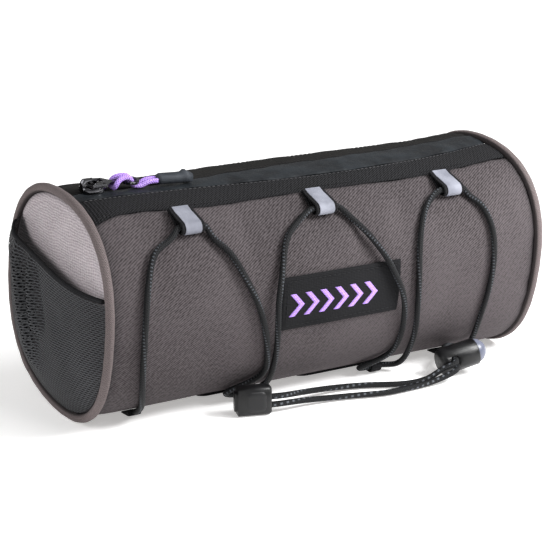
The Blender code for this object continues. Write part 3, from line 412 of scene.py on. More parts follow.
# %% [markdown]
# The two braided cords share one recipe. The black one has pale rubber threads that show between
# the strands as small ticks; on the purple one the ticks are only a lighter purple.

# %% Cord finishes
def braided(name, dark, light, fleck, turns, bump, ticks=600.0):
    """A braided sleeve of five strands each way, with pale ticks along its tracer threads."""
    finish, tree, shader = new_finish(name, 0.62, Specular_IOR_Level=0.2)
    sleeve = place_group(tree, braid, Place=cloth_place(tree), Strands=5.0, Turns_Per_Metre=turns,
                         Ticks_Per_Metre=ticks)
    colour = mix(tree, sleeve["Height"], dark, light)
    colour = mix(tree, times(tree, sleeve["Tracer"], 0.75), colour, fleck)
    tree.links.new(colour, shader.inputs["Base Color"])
    emboss(tree, shader, sleeve["Height"], bump, 0.9)
    return finish


elastic = braided("black_elastic_sleeve", rgb(4, 4, 5), rgb(26, 27, 29), rgb(86, 90, 96), 190.0, 0.0003)
tail_elastic = braided("black_tail_sleeve", rgb(4, 4, 5), rgb(26, 27, 29), rgb(104, 108, 114), 190.0, 0.0003,
                       300.0)
purple = braided("purple_braid", rgb(138, 104, 190), rgb(196, 160, 248), rgb(214, 184, 255), 170.0, 0.00035)

# %% [markdown]
# Mesh, coated tape and reflective ribbon are the three cloths that are not simply woven. The mesh
# is cut by its alpha; the coated tape is smooth and a little creased; the ribbon has a satin,
# almost metallic face with a fine rib.

# %% Mesh, tape and ribbon
mesh_cloth, tree, shader = new_finish("dark_knitted_mesh", 0.72, Specular_IOR_Level=0.3)
knit = place_group(tree, net, Place=cloth_place(tree))
tone = maths(tree, "MULTIPLY_ADD", clouds(tree)["Broad"], 0.3, times(tree, knit["Height"], 0.7))
tree.links.new(mix(tree, tone, rgb(3, 3, 4), rgb(76, 77, 80)), shader.inputs["Base Color"])
tree.links.new(knit["Cloth"], shader.inputs["Alpha"])
emboss(tree, shader, knit["Height"], 0.0003)

coated_tape, tree, shader = new_finish("coated_tape", 0.48, Specular_IOR_Level=0.3)
cloud = clouds(tree, Broad=60.0, Fine=1400.0)
tree.links.new(mix(tree, cloud["Broad"], rgb(19, 21, 24), rgb(32, 36, 40)), shader.inputs["Base Color"])
tree.links.new(fade(tree, cloud["Fine"], 0.0, 1.0, 0.40, 0.58), shader.inputs["Roughness"])
emboss(tree, shader, cloud["Broad"], 0.0012, 0.6)

ribbon, tree, shader = new_finish("reflective_ribbon", 0.6, metallic=0.05, Specular_IOR_Level=0.25)
fabric = place_group(tree, ribs, Place=cloth_place(tree), Ribs_Per_Metre=2200.0, Stitches=0.0, Waviness=0.0)
tone = maths(tree, "MULTIPLY_ADD", fabric["Height"], 0.3, times(tree, clouds(tree, Broad=90.0)["Broad"], 0.6))
tree.links.new(mix(tree, tone, rgb(110, 112, 122), rgb(150, 152, 163)), shader.inputs["Base Color"])
emboss(tree, shader, fabric["Height"], 0.00008)
print(len(bpy.data.materials), "finishes with the cords, mesh, tape and ribbon")

# %% [markdown]
# The hard parts are moulded plastic, rubber and plated wire. Their shapes come from their solids
# further down, and their finish gives what moulding and handling leave: a fine grain, slightly
# uneven gloss, and a little pale dust that settles in broad patches.

# %% Hard finishes
def moulded(name, dark, light, gloss, grain=0.00006, metallic=0.0, **settings):
    """A moulded or plated surface: colour between two shades, gloss between two roughnesses."""
    finish, tree, shader = new_finish(name, gloss[0], metallic, **settings)
    cloud = clouds(tree, Broad=120.0, Fine=2600.0)
    tree.links.new(mix(tree, cloud["Broad"], dark, light), shader.inputs["Base Color"])
    tree.links.new(fade(tree, cloud["Broad"], 0.0, 1.0, *gloss), shader.inputs["Roughness"])
    emboss(tree, shader, cloud["Fine"], grain, 0.5)
    return finish


black_plastic = moulded("black_moulded_plastic", rgb(7, 7, 8), rgb(20, 20, 22), (0.34, 0.48),
                        Specular_IOR_Level=0.4)
button_plastic = moulded("grey_moulded_plastic", rgb(92, 96, 112), rgb(116, 120, 136), (0.3, 0.42))
coil_nylon = moulded("black_coil_nylon", rgb(16, 16, 17), rgb(36, 36, 38), (0.4, 0.55))
plated = moulded("black_plated_wire", rgb(70, 70, 73), rgb(112, 112, 116), (0.10, 0.20), 0.00001, 1.0)
rubber = moulded("slate_rubber", rgb(40, 44, 49), rgb(58, 62, 68), (0.5, 0.66), 0.0001,
                 Specular_IOR_Level=0.3)
floor_finish, tree, shader = new_finish("pale_floor", 0.9, Specular_IOR_Level=0.1)
shader.inputs["Base Color"].default_value = (0.93, 0.93, 0.93, 1.0)
shader.inputs["Emission Color"].default_value = (1.0, 0.985, 0.97, 1.0)
shader.inputs["Emission Strength"].default_value = 0.40
floor_mesh.materials.append(floor_finish)
print(len(bpy.data.materials), "finishes")

# %% [markdown]
# The bag is a slightly squared barrel. Any place on it is a share of the half length (-1 to 1) and
# an angle round it (0 at the top, 90 in front), which is how a bag maker would chalk it on the
# cloth. The sizes are those of the solids; the seams are smooth curves through a table.

# %% Barrel sizes
R = 0.056
HALF = 0.125
MIDDLE = 0.0562
GAP = 0.0003
GAP_TURN = math.degrees(GAP / R)
PIPING = 0.0022
WALL_END = HALF - PIPING - GAP
DENTS = (  # share, angle, depth over R, half width as a share, half width in degrees
    (-0.55, -5.0, -0.026, 0.28, 24.0), (0.93, -16.0, 0.030, 0.12, 18.0),
    (0.93, 136.0, 0.022, 0.12, 24.0), (0.00, 95.0, 0.008, 0.55, 28.0))
SEAMS = np.array((  # share, then the angles of the strip's edge, the tape's, the zip and the back
    (-1.00, 40.0, 17.5, 8.5, -13.0), (-0.90, 35.3, 17.5, 8.5, -19.0), (-0.62, 35.6, 17.5, 7.2, -21.5),
    (-0.22, 36.0, 21.5, 4.8, -22.0), (0.25, 36.0, 22.5, 2.8, -22.0), (0.58, 35.6, 20.2, 0.8, -21.0),
    (0.80, 32.6, 16.5, -2.2, -17.0), (1.00, 29.6, 10.5, -5.5, -13.0)))


# %% Smooth curves
def circle(count):
    """Cosine and sine of equal steps round a circle."""
    turn = np.linspace(0, TAU, count, endpoint=False)
    return np.cos(turn), np.sin(turn)


def blunt(value, power):
    """sign(v) |v|^power: a power under 1 squares a circle's cosine and sine."""
    return np.sign(value) * np.abs(value) ** power


def pair(one, two):
    """Two arrays as the two columns of one, such as the u and v of a cloth."""
    return np.stack(np.broadcast_arrays(one, two), axis=-1)


def run_length(path):
    """Metres along a path at each of its points."""
    return np.concatenate([[0.0], np.cumsum(np.linalg.norm(np.diff(path, axis=0), axis=1))])


def spline(knots, values, at):
    """Natural cubic through values at knots: each span is the cubic whose bend is continuous."""
    knots, values, at = (np.asarray(v, float) for v in (knots, values, at))
    flat = values.reshape(len(knots), -1)
    step = np.diff(knots)
    matrix = np.diag(np.concatenate([[1.0], 2 * (step[:-1] + step[1:]), [1.0]]))
    inner = np.arange(1, len(knots) - 1)
    matrix[inner, inner - 1], matrix[inner, inner + 1] = step[:-1], step[1:]
    slope = np.diff(flat, axis=0) / step[:, None]
    bend = np.linalg.solve(matrix, 6 * np.pad(np.diff(slope, axis=0), ((1, 1), (0, 0))))
    i = np.clip(np.searchsorted(knots, at, side="right") - 1, 0, len(knots) - 2)
    width = step[i][:, None]
    a, b = (knots[i + 1] - at)[:, None] / width, (at - knots[i])[:, None] / width
    out = a * flat[i] + b * flat[i + 1]
    out = out + ((a ** 3 - a) * bend[i] + (b ** 3 - b) * bend[i + 1]) * width ** 2 / 6
    return out.reshape((len(at),) + values.shape[1:])


def smooth_route(route, step):
    """Points about a step apart on the natural cubic through a route, knots at chord lengths."""
    route = np.asarray(route, float)
    knots = run_length(route)
    return spline(knots, route, np.linspace(0, knots[-1], max(2, round(knots[-1] / step)) + 1))


def seam(column, share):
    """The angle of seam 1 strip edge, 2 tape edge, 3 zip or 4 back edge at a share."""
    return spline(SEAMS[:, 0], SEAMS[:, column], np.atleast_1d(share))


# %% Barrel surface
def turned(angle, middle):
    """Degrees from the middle to the angle, the short way round."""
    return (np.asarray(angle) - middle + 180.0) % 360.0 - 180.0


def section(angle):
    """Radius over R: 1 + 0.015 sin 2a + 0.008 sin 3a - 0.029 cos 4(a - 9)."""
    a = np.radians(angle)
    return 1 + 0.015 * np.sin(2 * a) + 0.008 * np.sin(3 * a) - 0.029 * np.cos(4 * (a - math.radians(9.0)))


def barrel(share, angle, lift=0.0, soft=True):
    """(x, -r sin a, middle + r cos a), r = R section + lift + dents, never below the floor."""
    share, angle, lift = np.broadcast_arrays(*(np.asarray(v, float) for v in (share, angle, lift)))
    radius = R * section(angle) + lift
    if soft:
        radius = radius + 0.0028 * np.exp(-(turned(angle, 184.0) / 16.0) ** 2)
        radius = radius - 0.0008 * np.exp(-(HALF * (1 - np.abs(share)) / 0.006) ** 2)
        for place, middle, depth, wide, wide_angle in DENTS:
            radius = radius + R * depth * np.exp(
                -((share - place) / wide) ** 2 - (turned(angle, middle) / wide_angle) ** 2)
    a = np.radians(angle)
    height = np.maximum(MIDDLE + radius * np.cos(a), np.maximum(-lift, 0.0))
    return np.stack([share * HALF, -radius * np.sin(a), height], axis=-1)


print("barrel at the front", barrel(0.0, 90.0).round(4))

# %% [markdown]
# The cords come first, because their route fixes where everything else may be. The elastic cord
# is one line from the cord lock over all the loops. It is drawn as a tube along the route: at each
# point a ring of points stands square to the path, and the ring's start is carried along so that
# the braid does not twist.

# %% Tube along a path
def carry(side, tangent):
    """The side direction kept square to the path at its next point."""
    side = side - tangent * (side @ tangent)
    return side / np.linalg.norm(side)


def tube(name, path, radius, finish, sides=14):
    """Rings path + radius (cos t side + sin t up), with u = metres along and v = turns round."""
    tangent = np.gradient(path, axis=0)
    tangent /= np.linalg.norm(tangent, axis=1)[:, None]
    first = np.cross(tangent[0], (0.31, 0.22, 0.93))
    side = np.array(list(accumulate(tangent, carry, initial=first)))[1:]
    up = np.cross(tangent, side)
    c, s = circle(sides)
    rings = path[:, None] + radius * (c[:, None] * side[:, None] + s[:, None] * up[:, None])
    return skin(name, rings, finish, pair(run_length(path)[:, None], np.linspace(0, 1, sides + 1)))


# %% Lock and clip frames
LOCK_END = np.array((0.0630, -0.0528, 0.0072))
LOCK_R = 0.0071
turn, tilt = math.radians(-12.0), math.radians(12.0)
LOCK_X = np.array((math.cos(tilt) * math.cos(turn), math.cos(tilt) * math.sin(turn), math.sin(tilt)))
LOCK_Y = np.array((-math.sin(turn), math.cos(turn), 0.0))
LOCK_Z = np.cross(LOCK_X, LOCK_Y)
HOLE = 0.0072  # the cord hole's place along the lock
REACH = (GAP, 0.5 * LOCK_R, LOCK_R)
CORD = 0.0015  # the cord's radius
CORD_LIFT = CORD + 1.5 * GAP
STEP_UP = 0.0017  # each cord's distance from the middle of the lock's hole
WEB = 0.0009  # webbing's thickness
LOOP_LIFT = GAP + WEB + CORD + 0.0006


def in_lock(along, forward, across):
    """A place in the lock: along it, forward out of the cord hole, across both cords."""
    return tuple(LOCK_END + along * LOCK_X - forward * LOCK_Y + across * LOCK_Z)


def on_cloth(share, angle, extra=0.0):
    """The middle of a cord that lies on the cloth, or an extra lift above it."""
    return tuple(barrel(share, angle, CORD_LIFT + extra))


def through_loop(share, angle, width):
    """Three places that take the cord straight through a loop, from right to left."""
    half = (width / 2 + 0.0006) / HALF
    return [on_cloth(share - k * half, angle, LOOP_LIFT - CORD_LIFT) for k in (-1, 0, 1)]


# %% [markdown]
# These are the chalk marks of the laced cord: share, angle and a small extra lift where it crosses
# the label or hangs clear of the cloth. Top loops and bottom loops take turns.

# %% Route of the laced cord
TOP_LOOPS = (-0.625, -0.033, 0.585)
TOP_ANGLE = 48.8
LOW_LOOPS = (-0.336, 0.308)
LOW_ANGLE = 150.5
TABS = (-0.798, 0.672)
TAB_ANGLE = 152.6
TOP_WIDTH, LOW_WIDTH = 0.0125, 0.0064
ARC_3_RIGHT = (
    (0.742, 142.0, 0.0022), (0.748, 133.0, 0.0005), (0.741, 122.0, 0.0), (0.745, 110.0, 0.0),
    (0.753, 97.0, 0.0), (0.756, 84.0, 0.0), (0.749, 72.0, 0.0), (0.729, 62.8, 0.0),
    (0.703, 57.1, 0.0), (0.666, 52.4, 0.0))
ARC_3_LEFT = (
    (0.473, 52.2, 0.0), (0.418, 59.5, 0.0), (0.378, 73.0, 0.0), (0.377, 92.0, 0.0), (0.390, 109.0, 0.0),
    (0.408, 124.0, 0.0002), (0.416, 136.0, 0.0010), (0.396, 147.0, 0.0030))
ARC_2_RIGHT = (
    (0.228, 149.0, 0.0012), (0.300, 141.0, 0.0004), (0.338, 129.0, 0.0), (0.326, 112.0, 0.0004),
    (0.288, 95.0, 0.0016), (0.252, 86.5, 0.0016), (0.212, 78.0, 0.0016), (0.170, 70.0, 0.0008),
    (0.128, 62.5, 0.0), (0.068, 53.5, 0.0))
ARC_2_LEFT = (
    (-0.142, 51.8, 0.0), (-0.228, 60.0, 0.0), (-0.272, 74.0, 0.0004), (-0.294, 88.0, 0.0012),
    (-0.286, 104.0, 0.0010), (-0.268, 120.0, 0.0), (-0.254, 134.0, 0.0), (-0.256, 146.0, 0.0006))
ARC_1_RIGHT = (
    (-0.415, 147.5, 0.0006), (-0.310, 134.5, 0.0), (-0.304, 121.0, 0.0), (-0.336, 105.0, 0.0),
    (-0.386, 87.5, 0.0), (-0.444, 73.0, 0.0), (-0.504, 60.5, 0.0), (-0.548, 53.5, 0.0))
ARC_1_LEFT = (
    (-0.706, 51.6, 0.0), (-0.780, 56.5, 0.0), (-0.832, 66.0, 0.0), (-0.856, 79.0, 0.0), (-0.863, 94.0, 0.0),
    (-0.860, 110.0, 0.0), (-0.846, 124.0, 0.0), (-0.818, 137.0, 0.0), (-0.799, 147.0, 0.0))
lacing = [in_lock(HOLE, -out, STEP_UP) for out in REACH] + [in_lock(HOLE + 0.0035, -0.0132, STEP_UP)]
TOP, LOW = (TOP_ANGLE, TOP_WIDTH), (LOW_ANGLE, LOW_WIDTH)
for arc, middle, kind in ((ARC_3_RIGHT, TOP_LOOPS[2], TOP), (ARC_3_LEFT, LOW_LOOPS[1], LOW),
                          (ARC_2_RIGHT, TOP_LOOPS[1], TOP), (ARC_2_LEFT, LOW_LOOPS[0], LOW),
                          (ARC_1_RIGHT, TOP_LOOPS[0], TOP)):
    lacing += [on_cloth(*p) for p in arc] + through_loop(middle, *kind)
lacing += [on_cloth(*p) for p in ARC_1_LEFT] + [on_cloth(TABS[0], TAB_ANGLE - GAP_TURN)]
anchor = [in_lock(HOLE, -out, -STEP_UP) for out in REACH]
anchor += [(0.0735, -0.0430, 0.0066), (0.0785, -0.0378, 0.0058), on_cloth(TABS[1], 147.5)]
anchor += [on_cloth(TABS[1], TAB_ANGLE - GAP_TURN)]
for name, route, node in (("lacing_cord", lacing, "bungee_lacing"),
                          ("anchored_cord", anchor, "bungee_anchor")):
    wear(tube(name, smooth_route(route, 0.0016), CORD, elastic), "black_elastic_cord", node)

# %% [markdown]
# The hard parts have the right shape already. A solid's mesh is loose triangles, which would show
# as facets, so each is copied, its doubled corners are merged and its round faces shaded smooth,
# and the copy takes the solid's place with its own moulded or plated finish.

# %% Hard parts from their solids
def smooth_copy(node, name, finish, slot, body="bag", angle=38.0):
    """A merged copy of a solid, smooth where faces meet at less than the angle."""
    shape = bmesh.new()
    shape.from_mesh(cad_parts[node].data)
    bmesh.ops.remove_doubles(shape, verts=shape.verts, dist=1e-6)
    bmesh.ops.recalc_face_normals(shape, faces=shape.faces)
    mesh = bpy.data.meshes.new(name)
    shape.to_mesh(mesh)
    shape.free()
    mesh.materials.clear()
    mesh.materials.append(finish)
    mesh.shade_smooth()
    mesh.set_sharp_from_angle(angle=math.radians(angle))
    piece = bpy.data.objects.new(name, mesh)
    scene.collection.objects.link(piece)
    return wear(piece, slot, node, body=body)


smooth_copy("cord_lock_body", "lock_barrel", black_plastic, "black_plastic")
smooth_copy("cord_lock_button", "lock_push_button", button_plastic, "grey_plastic", "lock_button")
clip = smooth_copy("cord_end_clip", "tail_clip", black_plastic, "black_plastic")
smooth_copy("zip_slider", "slider_body", plated, "black_plated_metal")
smooth_copy("pull_tab", "puller_wire", plated, "black_plated_metal", "puller", 30.0)
smooth_copy("pull_grip", "rubber_grip", rubber, "black_rubber", "puller", 45.0)

# %% [markdown]
# The two tails are free cord: limp, three millimetres thick and twelve to thirteen centimetres
# long. They leave the lock, drop onto the table and run to the clip that keeps their ends
# together.

# %% Free tails
TAIL_UPPER = (
    (0.0663, -0.0632, 0.0100), (0.0636, -0.0634, 0.0090), (0.0604, -0.0619, 0.0076),
    (0.0564, -0.0606, 0.0054), (0.0520, -0.0600, 0.0034), (0.0458, -0.0588, 0.0021),
    (0.0367, -0.0566, 0.0018), (0.0250, -0.0508, 0.0018), (0.0120, -0.0462, 0.0020),
    (-0.0060, -0.0458, 0.0034), (-0.0220, -0.0496, 0.0056))
TAIL_LOWER = (
    (0.0668, -0.0640, 0.0066), (0.0634, -0.0649, 0.0056), (0.0592, -0.0645, 0.0042),
    (0.0541, -0.0637, 0.0028), (0.0447, -0.0634, 0.0018), (0.0345, -0.0638, 0.0018),
    (0.0227, -0.0634, 0.0018), (0.0096, -0.0596, 0.0018), (-0.0060, -0.0560, 0.0022),
    (-0.0220, -0.0550, 0.0034))
CLIP_X, CLIP_Y, CLIP_LENGTH = -0.0472, -0.0512, 0.0165
CLIP_TURN = math.radians(-18.0)


def in_clip(along, height):
    """A place in the clip, along its cord holes from its middle and above its lower edge."""
    return (CLIP_X + along * math.cos(CLIP_TURN), CLIP_Y + along * math.sin(CLIP_TURN), height)


for label, places, lock_side, hole_height in (("upper", TAIL_UPPER, STEP_UP, 0.0084),
                                              ("lower", TAIL_LOWER, -STEP_UP, 0.0043)):
    route = [in_lock(HOLE, out, lock_side) for out in REACH] + list(places)
    route += [in_clip(CLIP_LENGTH / 2 + out, hole_height) for out in (0.0030, -0.0060 + GAP)]
    path = smooth_route(route, 0.0016)
    tail = wear(tube("free_tail_" + label, path, CORD, tail_elastic), "black_elastic_cord",
                "bungee_tail_" + label)

# %% [markdown]
# The clip's cover has a raised pad with soft edges, which catches a curved line of light. It is
# laid on the clip's front face as a low dome: a rounded square ring that shrinks and rises.

# %% Pad on the clip
def clip_pad(along, height, low, wide, tall, rise):
    """Rounded squares (wide by tall) times s, at depth low + rise (1 - s^6), s from 1 to 0."""
    s = np.concatenate([[1.0, 1.0], np.sqrt(np.linspace(0.95, 0.002, 12))])[:, None]
    c, up = circle(40)
    x = along + wide * s * blunt(c, 0.5)
    z = height + tall * s * blunt(up, 0.5)
    out = low + rise * np.clip(1 - s ** 6, 0, 1)
    out[0] -= 0.0004
    cos, sin = math.cos(CLIP_TURN), math.sin(CLIP_TURN)
    return np.stack([CLIP_X + x * cos + out * sin, CLIP_Y + x * sin - out * cos, z + 0 * x], axis=-1)


pad = skin("clip_cover_pad", clip_pad(0.0006, 0.0073, 0.0078 / 2, 0.0050, 0.0052, 0.0008), black_plastic)
wear(pad, "black_plastic")

# %% [markdown]
# The padded wall is one piece of grey twill on foam, sewn in at both ends and along the zip. It
# bags a little between its seams: shallow folds run down from the strip where the loops pull, and
# fine puckers stand along the end seams. The wall is a closed ring at each station, out over the
# face and back along the lining, carried along the barrel. The folds are sculpted as soft hollows
# rather than simulated, because the wall is stiff foam that holds its shape.

# %% Folds of the wall
FOLDS = (  # share, angle, length and width in metres, lean, depth in metres
    (-0.38, 57.0, 0.018, 0.0065, 12.0, -0.0017), (-0.30, 52.0, 0.012, 0.004, 14.0, -0.0006),
    (0.13, 59.0, 0.018, 0.0060, -10.0, -0.0015), (0.21, 53.0, 0.013, 0.005, -14.0, -0.0011),
    (0.33, 56.0, 0.020, 0.006, -10.0, -0.0013), (0.47, 53.0, 0.012, 0.004, 8.0, -0.0009),
    (-0.78, 58.0, 0.022, 0.006, -14.0, -0.0012), (0.83, 60.0, 0.026, 0.007, 10.0, -0.0012),
    (-0.08, 60.0, 0.012, 0.008, 0.0, -0.0009), (-0.55, 120.0, 0.030, 0.012, 20.0, -0.0010),
    (0.55, 118.0, 0.030, 0.012, -18.0, -0.0009), (0.05, 128.0, 0.014, 0.030, 0.0, -0.0008),
    (-0.25, 260.0, 0.030, 0.014, 12.0, -0.0014), (0.30, 240.0, 0.034, 0.012, -14.0, -0.0013),
    (-0.75, 235.0, 0.030, 0.010, 10.0, -0.0012), (0.78, 285.0, 0.028, 0.010, -10.0, -0.0012))


def folds(share, angle):
    """Sum of leaning hollows depth exp(-(along/length)^2 - (across/width)^2), plus end puckers
    and a ripple below the strips."""
    off = np.zeros(np.broadcast(share, angle).shape)
    for place, middle, length, width, lean, depth in FOLDS:
        x = (share - place) * HALF
        y = np.radians(turned(angle, middle)) * R
        c, s = math.cos(math.radians(lean)), math.sin(math.radians(lean))
        off = off + depth * np.exp(-((y * c + x * s) / length) ** 2 - ((x * c - y * s) / width) ** 2)
    to_end = HALF * (1 - np.abs(share))
    a = np.radians(angle)
    pucker = np.sin(17 * a + 2 * np.sin(3 * a)) + 0.6 * np.sin(29 * a + 1.3)
    off = off + 0.00018 * (pucker - 1.0) * np.exp(-((to_end - 0.005) / 0.006) ** 2)
    below = np.minimum(np.abs(turned(angle, 36.0)), np.abs(turned(angle, 338.0))) * math.radians(1.0) * R
    ripple = np.sin(share * 31 + 2 * np.sin(share * 9)) + 0.7 * np.sin(share * 57 + 1.0) - 1.2
    return off + 0.00028 * ripple * np.exp(-((below - 0.006) / 0.008) ** 2)


# %% Strip between two seams
def strip(name, high, low, columns, wall, finish, relief, rows=260, drop=0.0004):
    """Ring at each station: out over the face from the high to the low seam, back along the lining."""
    shares = np.sin(np.linspace(-1.25, 1.25, rows)) / math.sin(1.25) * WALL_END / HALF
    across = np.linspace(0, 1, columns)
    across = across + 0.12 * np.sin(TAU * (across - 0.5)) / math.pi
    first, last = high(shares), low(shares)
    angles = first[:, None] + (last - first)[:, None] * across
    station = shares[:, None] + 0 * angles
    edge = np.minimum(across, 1 - across) * np.radians(last - first)[:, None] * R
    up = relief(station, angles) - drop * np.exp(-(edge / 0.0008) ** 2)
    rings = np.concatenate([barrel(station, angles, up), barrel(station, angles, -wall)[:, ::-1]], axis=1)
    v = np.radians(np.concatenate([angles, angles[:, ::-1], angles[:, :1]], axis=1)) * R
    uv = pair(shares[:, None] * HALF, -v)
    # Painted shade: darker along the strip's two seam edges and towards the piping at both ends.
    painted_end_shade = np.exp(-(HALF * (1 - np.abs(station)) - PIPING) / 0.0022)
    dark = np.clip(np.exp(-edge / 0.0007) + painted_end_shade, 0, 1) * 0.8
    return skin(name, rings, finish, uv, shade=np.concatenate([dark, dark[:, ::-1]], axis=1))


wall = strip("padded_wall", lambda s: seam(1, s) + GAP_TURN / 2, lambda s: 360 + seam(4, s) - GAP_TURN / 2,
             190, 0.0025, grey_twill, folds, rows=210)
wear(wall, "grey_twill", "body_panel")


# %% [markdown]
# Above the wall come three flat pieces: a black twill strip that is folded under at its seam, a
# smooth coated zip tape, and behind the zip a ribbed strip. Near the left end the twill strip is
# gathered over the zip's end, which shows as a few upright ribs.

# %% Strips beside the zip
def gathers(share, angle):
    """Upright ribs 0.22 sin(x / 0.28 mm) that fade in towards the left end, and a slow ripple."""
    x = share * HALF
    near = 1 / (1 + np.exp((share + 0.875) * 90))
    return 0.00022 * near * np.sin(x / 0.00028) - 0.0002 + 0.00018 * np.sin(x / 0.011 + angle / 9)


def creases(share, angle):
    """Two slanting ripples, 0.16 and 0.12 mm high."""
    x = share * HALF
    return -0.0002 + 0.00016 * np.sin(x / 0.006 + 0.3 * angle) + 0.00012 * np.sin(x / 0.0023 + 0.8 * angle)


STRIP_WALL = 0.0012
wear(strip("twill_strip", lambda s: seam(2, s) + GAP_TURN / 2, lambda s: seam(1, s) - GAP_TURN / 2, 26,
           STRIP_WALL, strip_cloth, gathers, rows=520, drop=0.0006), "black_twill", "front_strip")
wear(strip("zip_tape", lambda s: seam(3, s) + GAP_TURN, lambda s: seam(2, s) - GAP_TURN / 2, 22,
           STRIP_WALL, coated_tape, creases), "coated_zip_tape", "front_tape")
wear(strip("ribbed_strip", lambda s: seam(4, s) + GAP_TURN / 2, lambda s: seam(3, s) - GAP_TURN, 30,
           STRIP_WALL, ribbed_cloth, creases), "black_ribbed_cloth", "back_strip")


# %% [markdown]
# Under the slit lies the zip itself, a row of small nylon turns. Each turn is a short rounded bar
# laid across the zip, and the next is shifted to the other side so that they mesh.

# %% Zip turns
count = 300
share = np.linspace(-0.965, 0.965, count)
centre = barrel(share, seam(3, share), -STRIP_WALL - 1.6 * GAP - 0.0006)
angle = np.radians(seam(3, share))
side = np.stack([0 * share, -np.cos(angle), -np.sin(angle)], axis=-1)
out = np.stack([0 * share, -np.sin(angle), np.cos(angle)], axis=-1)
shift = np.where(np.arange(count) % 2, 0.0004, -0.0004)
reach = np.array((-0.0017, -0.0014, 0.0014, 0.0017))
girth = np.array((0.4, 1.0, 1.0, 0.4)) * 0.00034
c, s = circle(6)
rings = (centre[:, None, None] + (shift[:, None] + reach)[:, :, None, None] * side[:, None, None]
         + (girth[:, None] * c)[None, :, :, None] * np.array((1.0, 0, 0))
         + (1.5 * girth[:, None] * s)[None, :, :, None] * out[:, None, None])
wear(skin("zip_turns", rings, coil_nylon), "black_zip_coil", "zip_coil")


# %% [markdown]
# Each end is closed by a round, slightly domed panel in a lighter cloth with soft level ribs. A
# very faint seam runs round it just inside the piping. The dome is a polar grid: the ring's share q
# of the rim radius goes from 1 at the rim to almost 0 in the middle, out over the face and back.

# %% End panels
DOME = 0.0040
PANEL_WALL = 0.0015


def rim(angle):
    """The end panel's radius: the section's, less the piping and a gap."""
    return R * section(angle) - PIPING - GAP


def end_place(side, y, height, stand_off):
    """A place over an end: x = side (half length + stand off), height over the barrel's middle."""
    return np.stack([side * (HALF + stand_off), y, np.maximum(MIDDLE + height, GAP)], axis=-1)


EDGE = R * np.array((  # y and height over R of the pocket's slanting mouth
    (-0.930, 0.200), (-0.70, 0.236), (-0.43, 0.291), (-0.07, 0.373), (0.30, 0.447), (0.54, 0.530),
    (0.690, 0.650)))


def opening(y):
    """The height of the pocket's mouth at y, for an array of any shape."""
    return spline(EDGE[:, 0], EDGE[:, 1], np.ravel(y)).reshape(np.shape(y))


def end_panel(side, label):
    """Dome x = 4 mm (1 - q^2), with a faint groove where q = 1 - 4.6 mm over the rim radius."""
    q = np.concatenate([1 - np.linspace(0, 0.16, 30), np.linspace(0.82, 0.01, 42)])[:, None]
    angle = np.linspace(0, 360, 180, endpoint=False)
    radius = rim(angle) * q
    inside = rim(angle) * (1 - q)
    groove = np.exp(-((inside - 0.0046) / 0.0006) ** 2)
    hem = 0.0004 * np.exp(-((inside - 0.0023) / 0.0016) ** 2)
    ripple = 0.00025 * np.sin(np.radians(angle) * 9 + 1) * np.exp(-((inside - 0.009) / 0.006) ** 2)
    face = DOME * (1 - q ** 2) - 0.0001 * groove + hem + ripple - 0.0002
    back = DOME * (1 - q ** 2) - PANEL_WALL + 0 * angle
    y, height = -radius * np.sin(np.radians(angle)), radius * np.cos(np.radians(angle))
    rings = np.concatenate([end_place(side, y, height, back)[::-1], end_place(side, y, height, face)])
    uv = np.concatenate([rings[..., 1:], rings[:, :1, 1:]], axis=1)
    # Painted shadow on the panel behind the mesh pocket, painted shade next to the piping, and a slightly
    # darker seam groove.
    painted_pocket_shadow = 1 / (1 + np.exp((height - opening(y) + 0.001) / 0.0006))
    dark = np.clip(0.12 * groove + 0.9 * np.exp(-inside / 0.0009) + 1.2 * painted_pocket_shadow, 0, 1.2)
    return skin("domed_end_" + label, rings, panel_cloth, uv, shade=np.concatenate([dark[::-1], dark]))


def piping(side, label):
    """Tube of radius 2.2 mm round the section's outline, pressed flat where the bag rests."""
    angle = np.linspace(0, 360, 260, endpoint=False)[:, None]
    turn = np.linspace(0, TAU, 32, endpoint=False)
    lap = np.exp(-(turned(angle, 224.0) / 5.0) ** 4)
    thick = PIPING * (1 + 0.10 * lap + 0.02 * np.sin(np.radians(angle) * 31))
    out = thick * np.cos(turn)
    rings = barrel(side + 0 * out, angle + 0 * out, out, soft=False)
    middle = barrel(side, angle, 0.0, soft=False)
    rings[..., 2] = np.maximum(middle[..., 2] + out * np.cos(np.radians(angle)), 0.0)
    rings[..., 0] += thick * np.sin(turn)
    u = np.radians(np.linspace(0, 360, 261))[:, None] * R
    v = np.linspace(0, TAU, 33) * PIPING
    # The lap joint's ends are dark lines; painted shade darkens the sides of the bead that turn in against
    # the wall and the end panel.
    joint = np.exp(-(np.abs(turned(angle, 224.0)) - 5.0) ** 2 / 0.5) * np.ones_like(turn)
    facing = -side * turned(np.degrees(turn), 0.0)
    painted_crevice_shade = np.clip((facing - 40.0) / 14.0, 0, 1) + np.clip((-facing - 118.0) / 30.0, 0, 1) + 0 * angle
    shade = np.maximum(0.7 * joint, painted_crevice_shade)
    return skin("piped_edge_" + label, rings, piping_cloth, pair(u, v), loop=True, shade=shade)


for side, label in ((-1, "left"), (1, "right")):
    wear(end_panel(side, label), "light_grey_twill", "end_panel_" + label)
    wear(piping(side, label), "light_grey_twill", "piping_" + label)
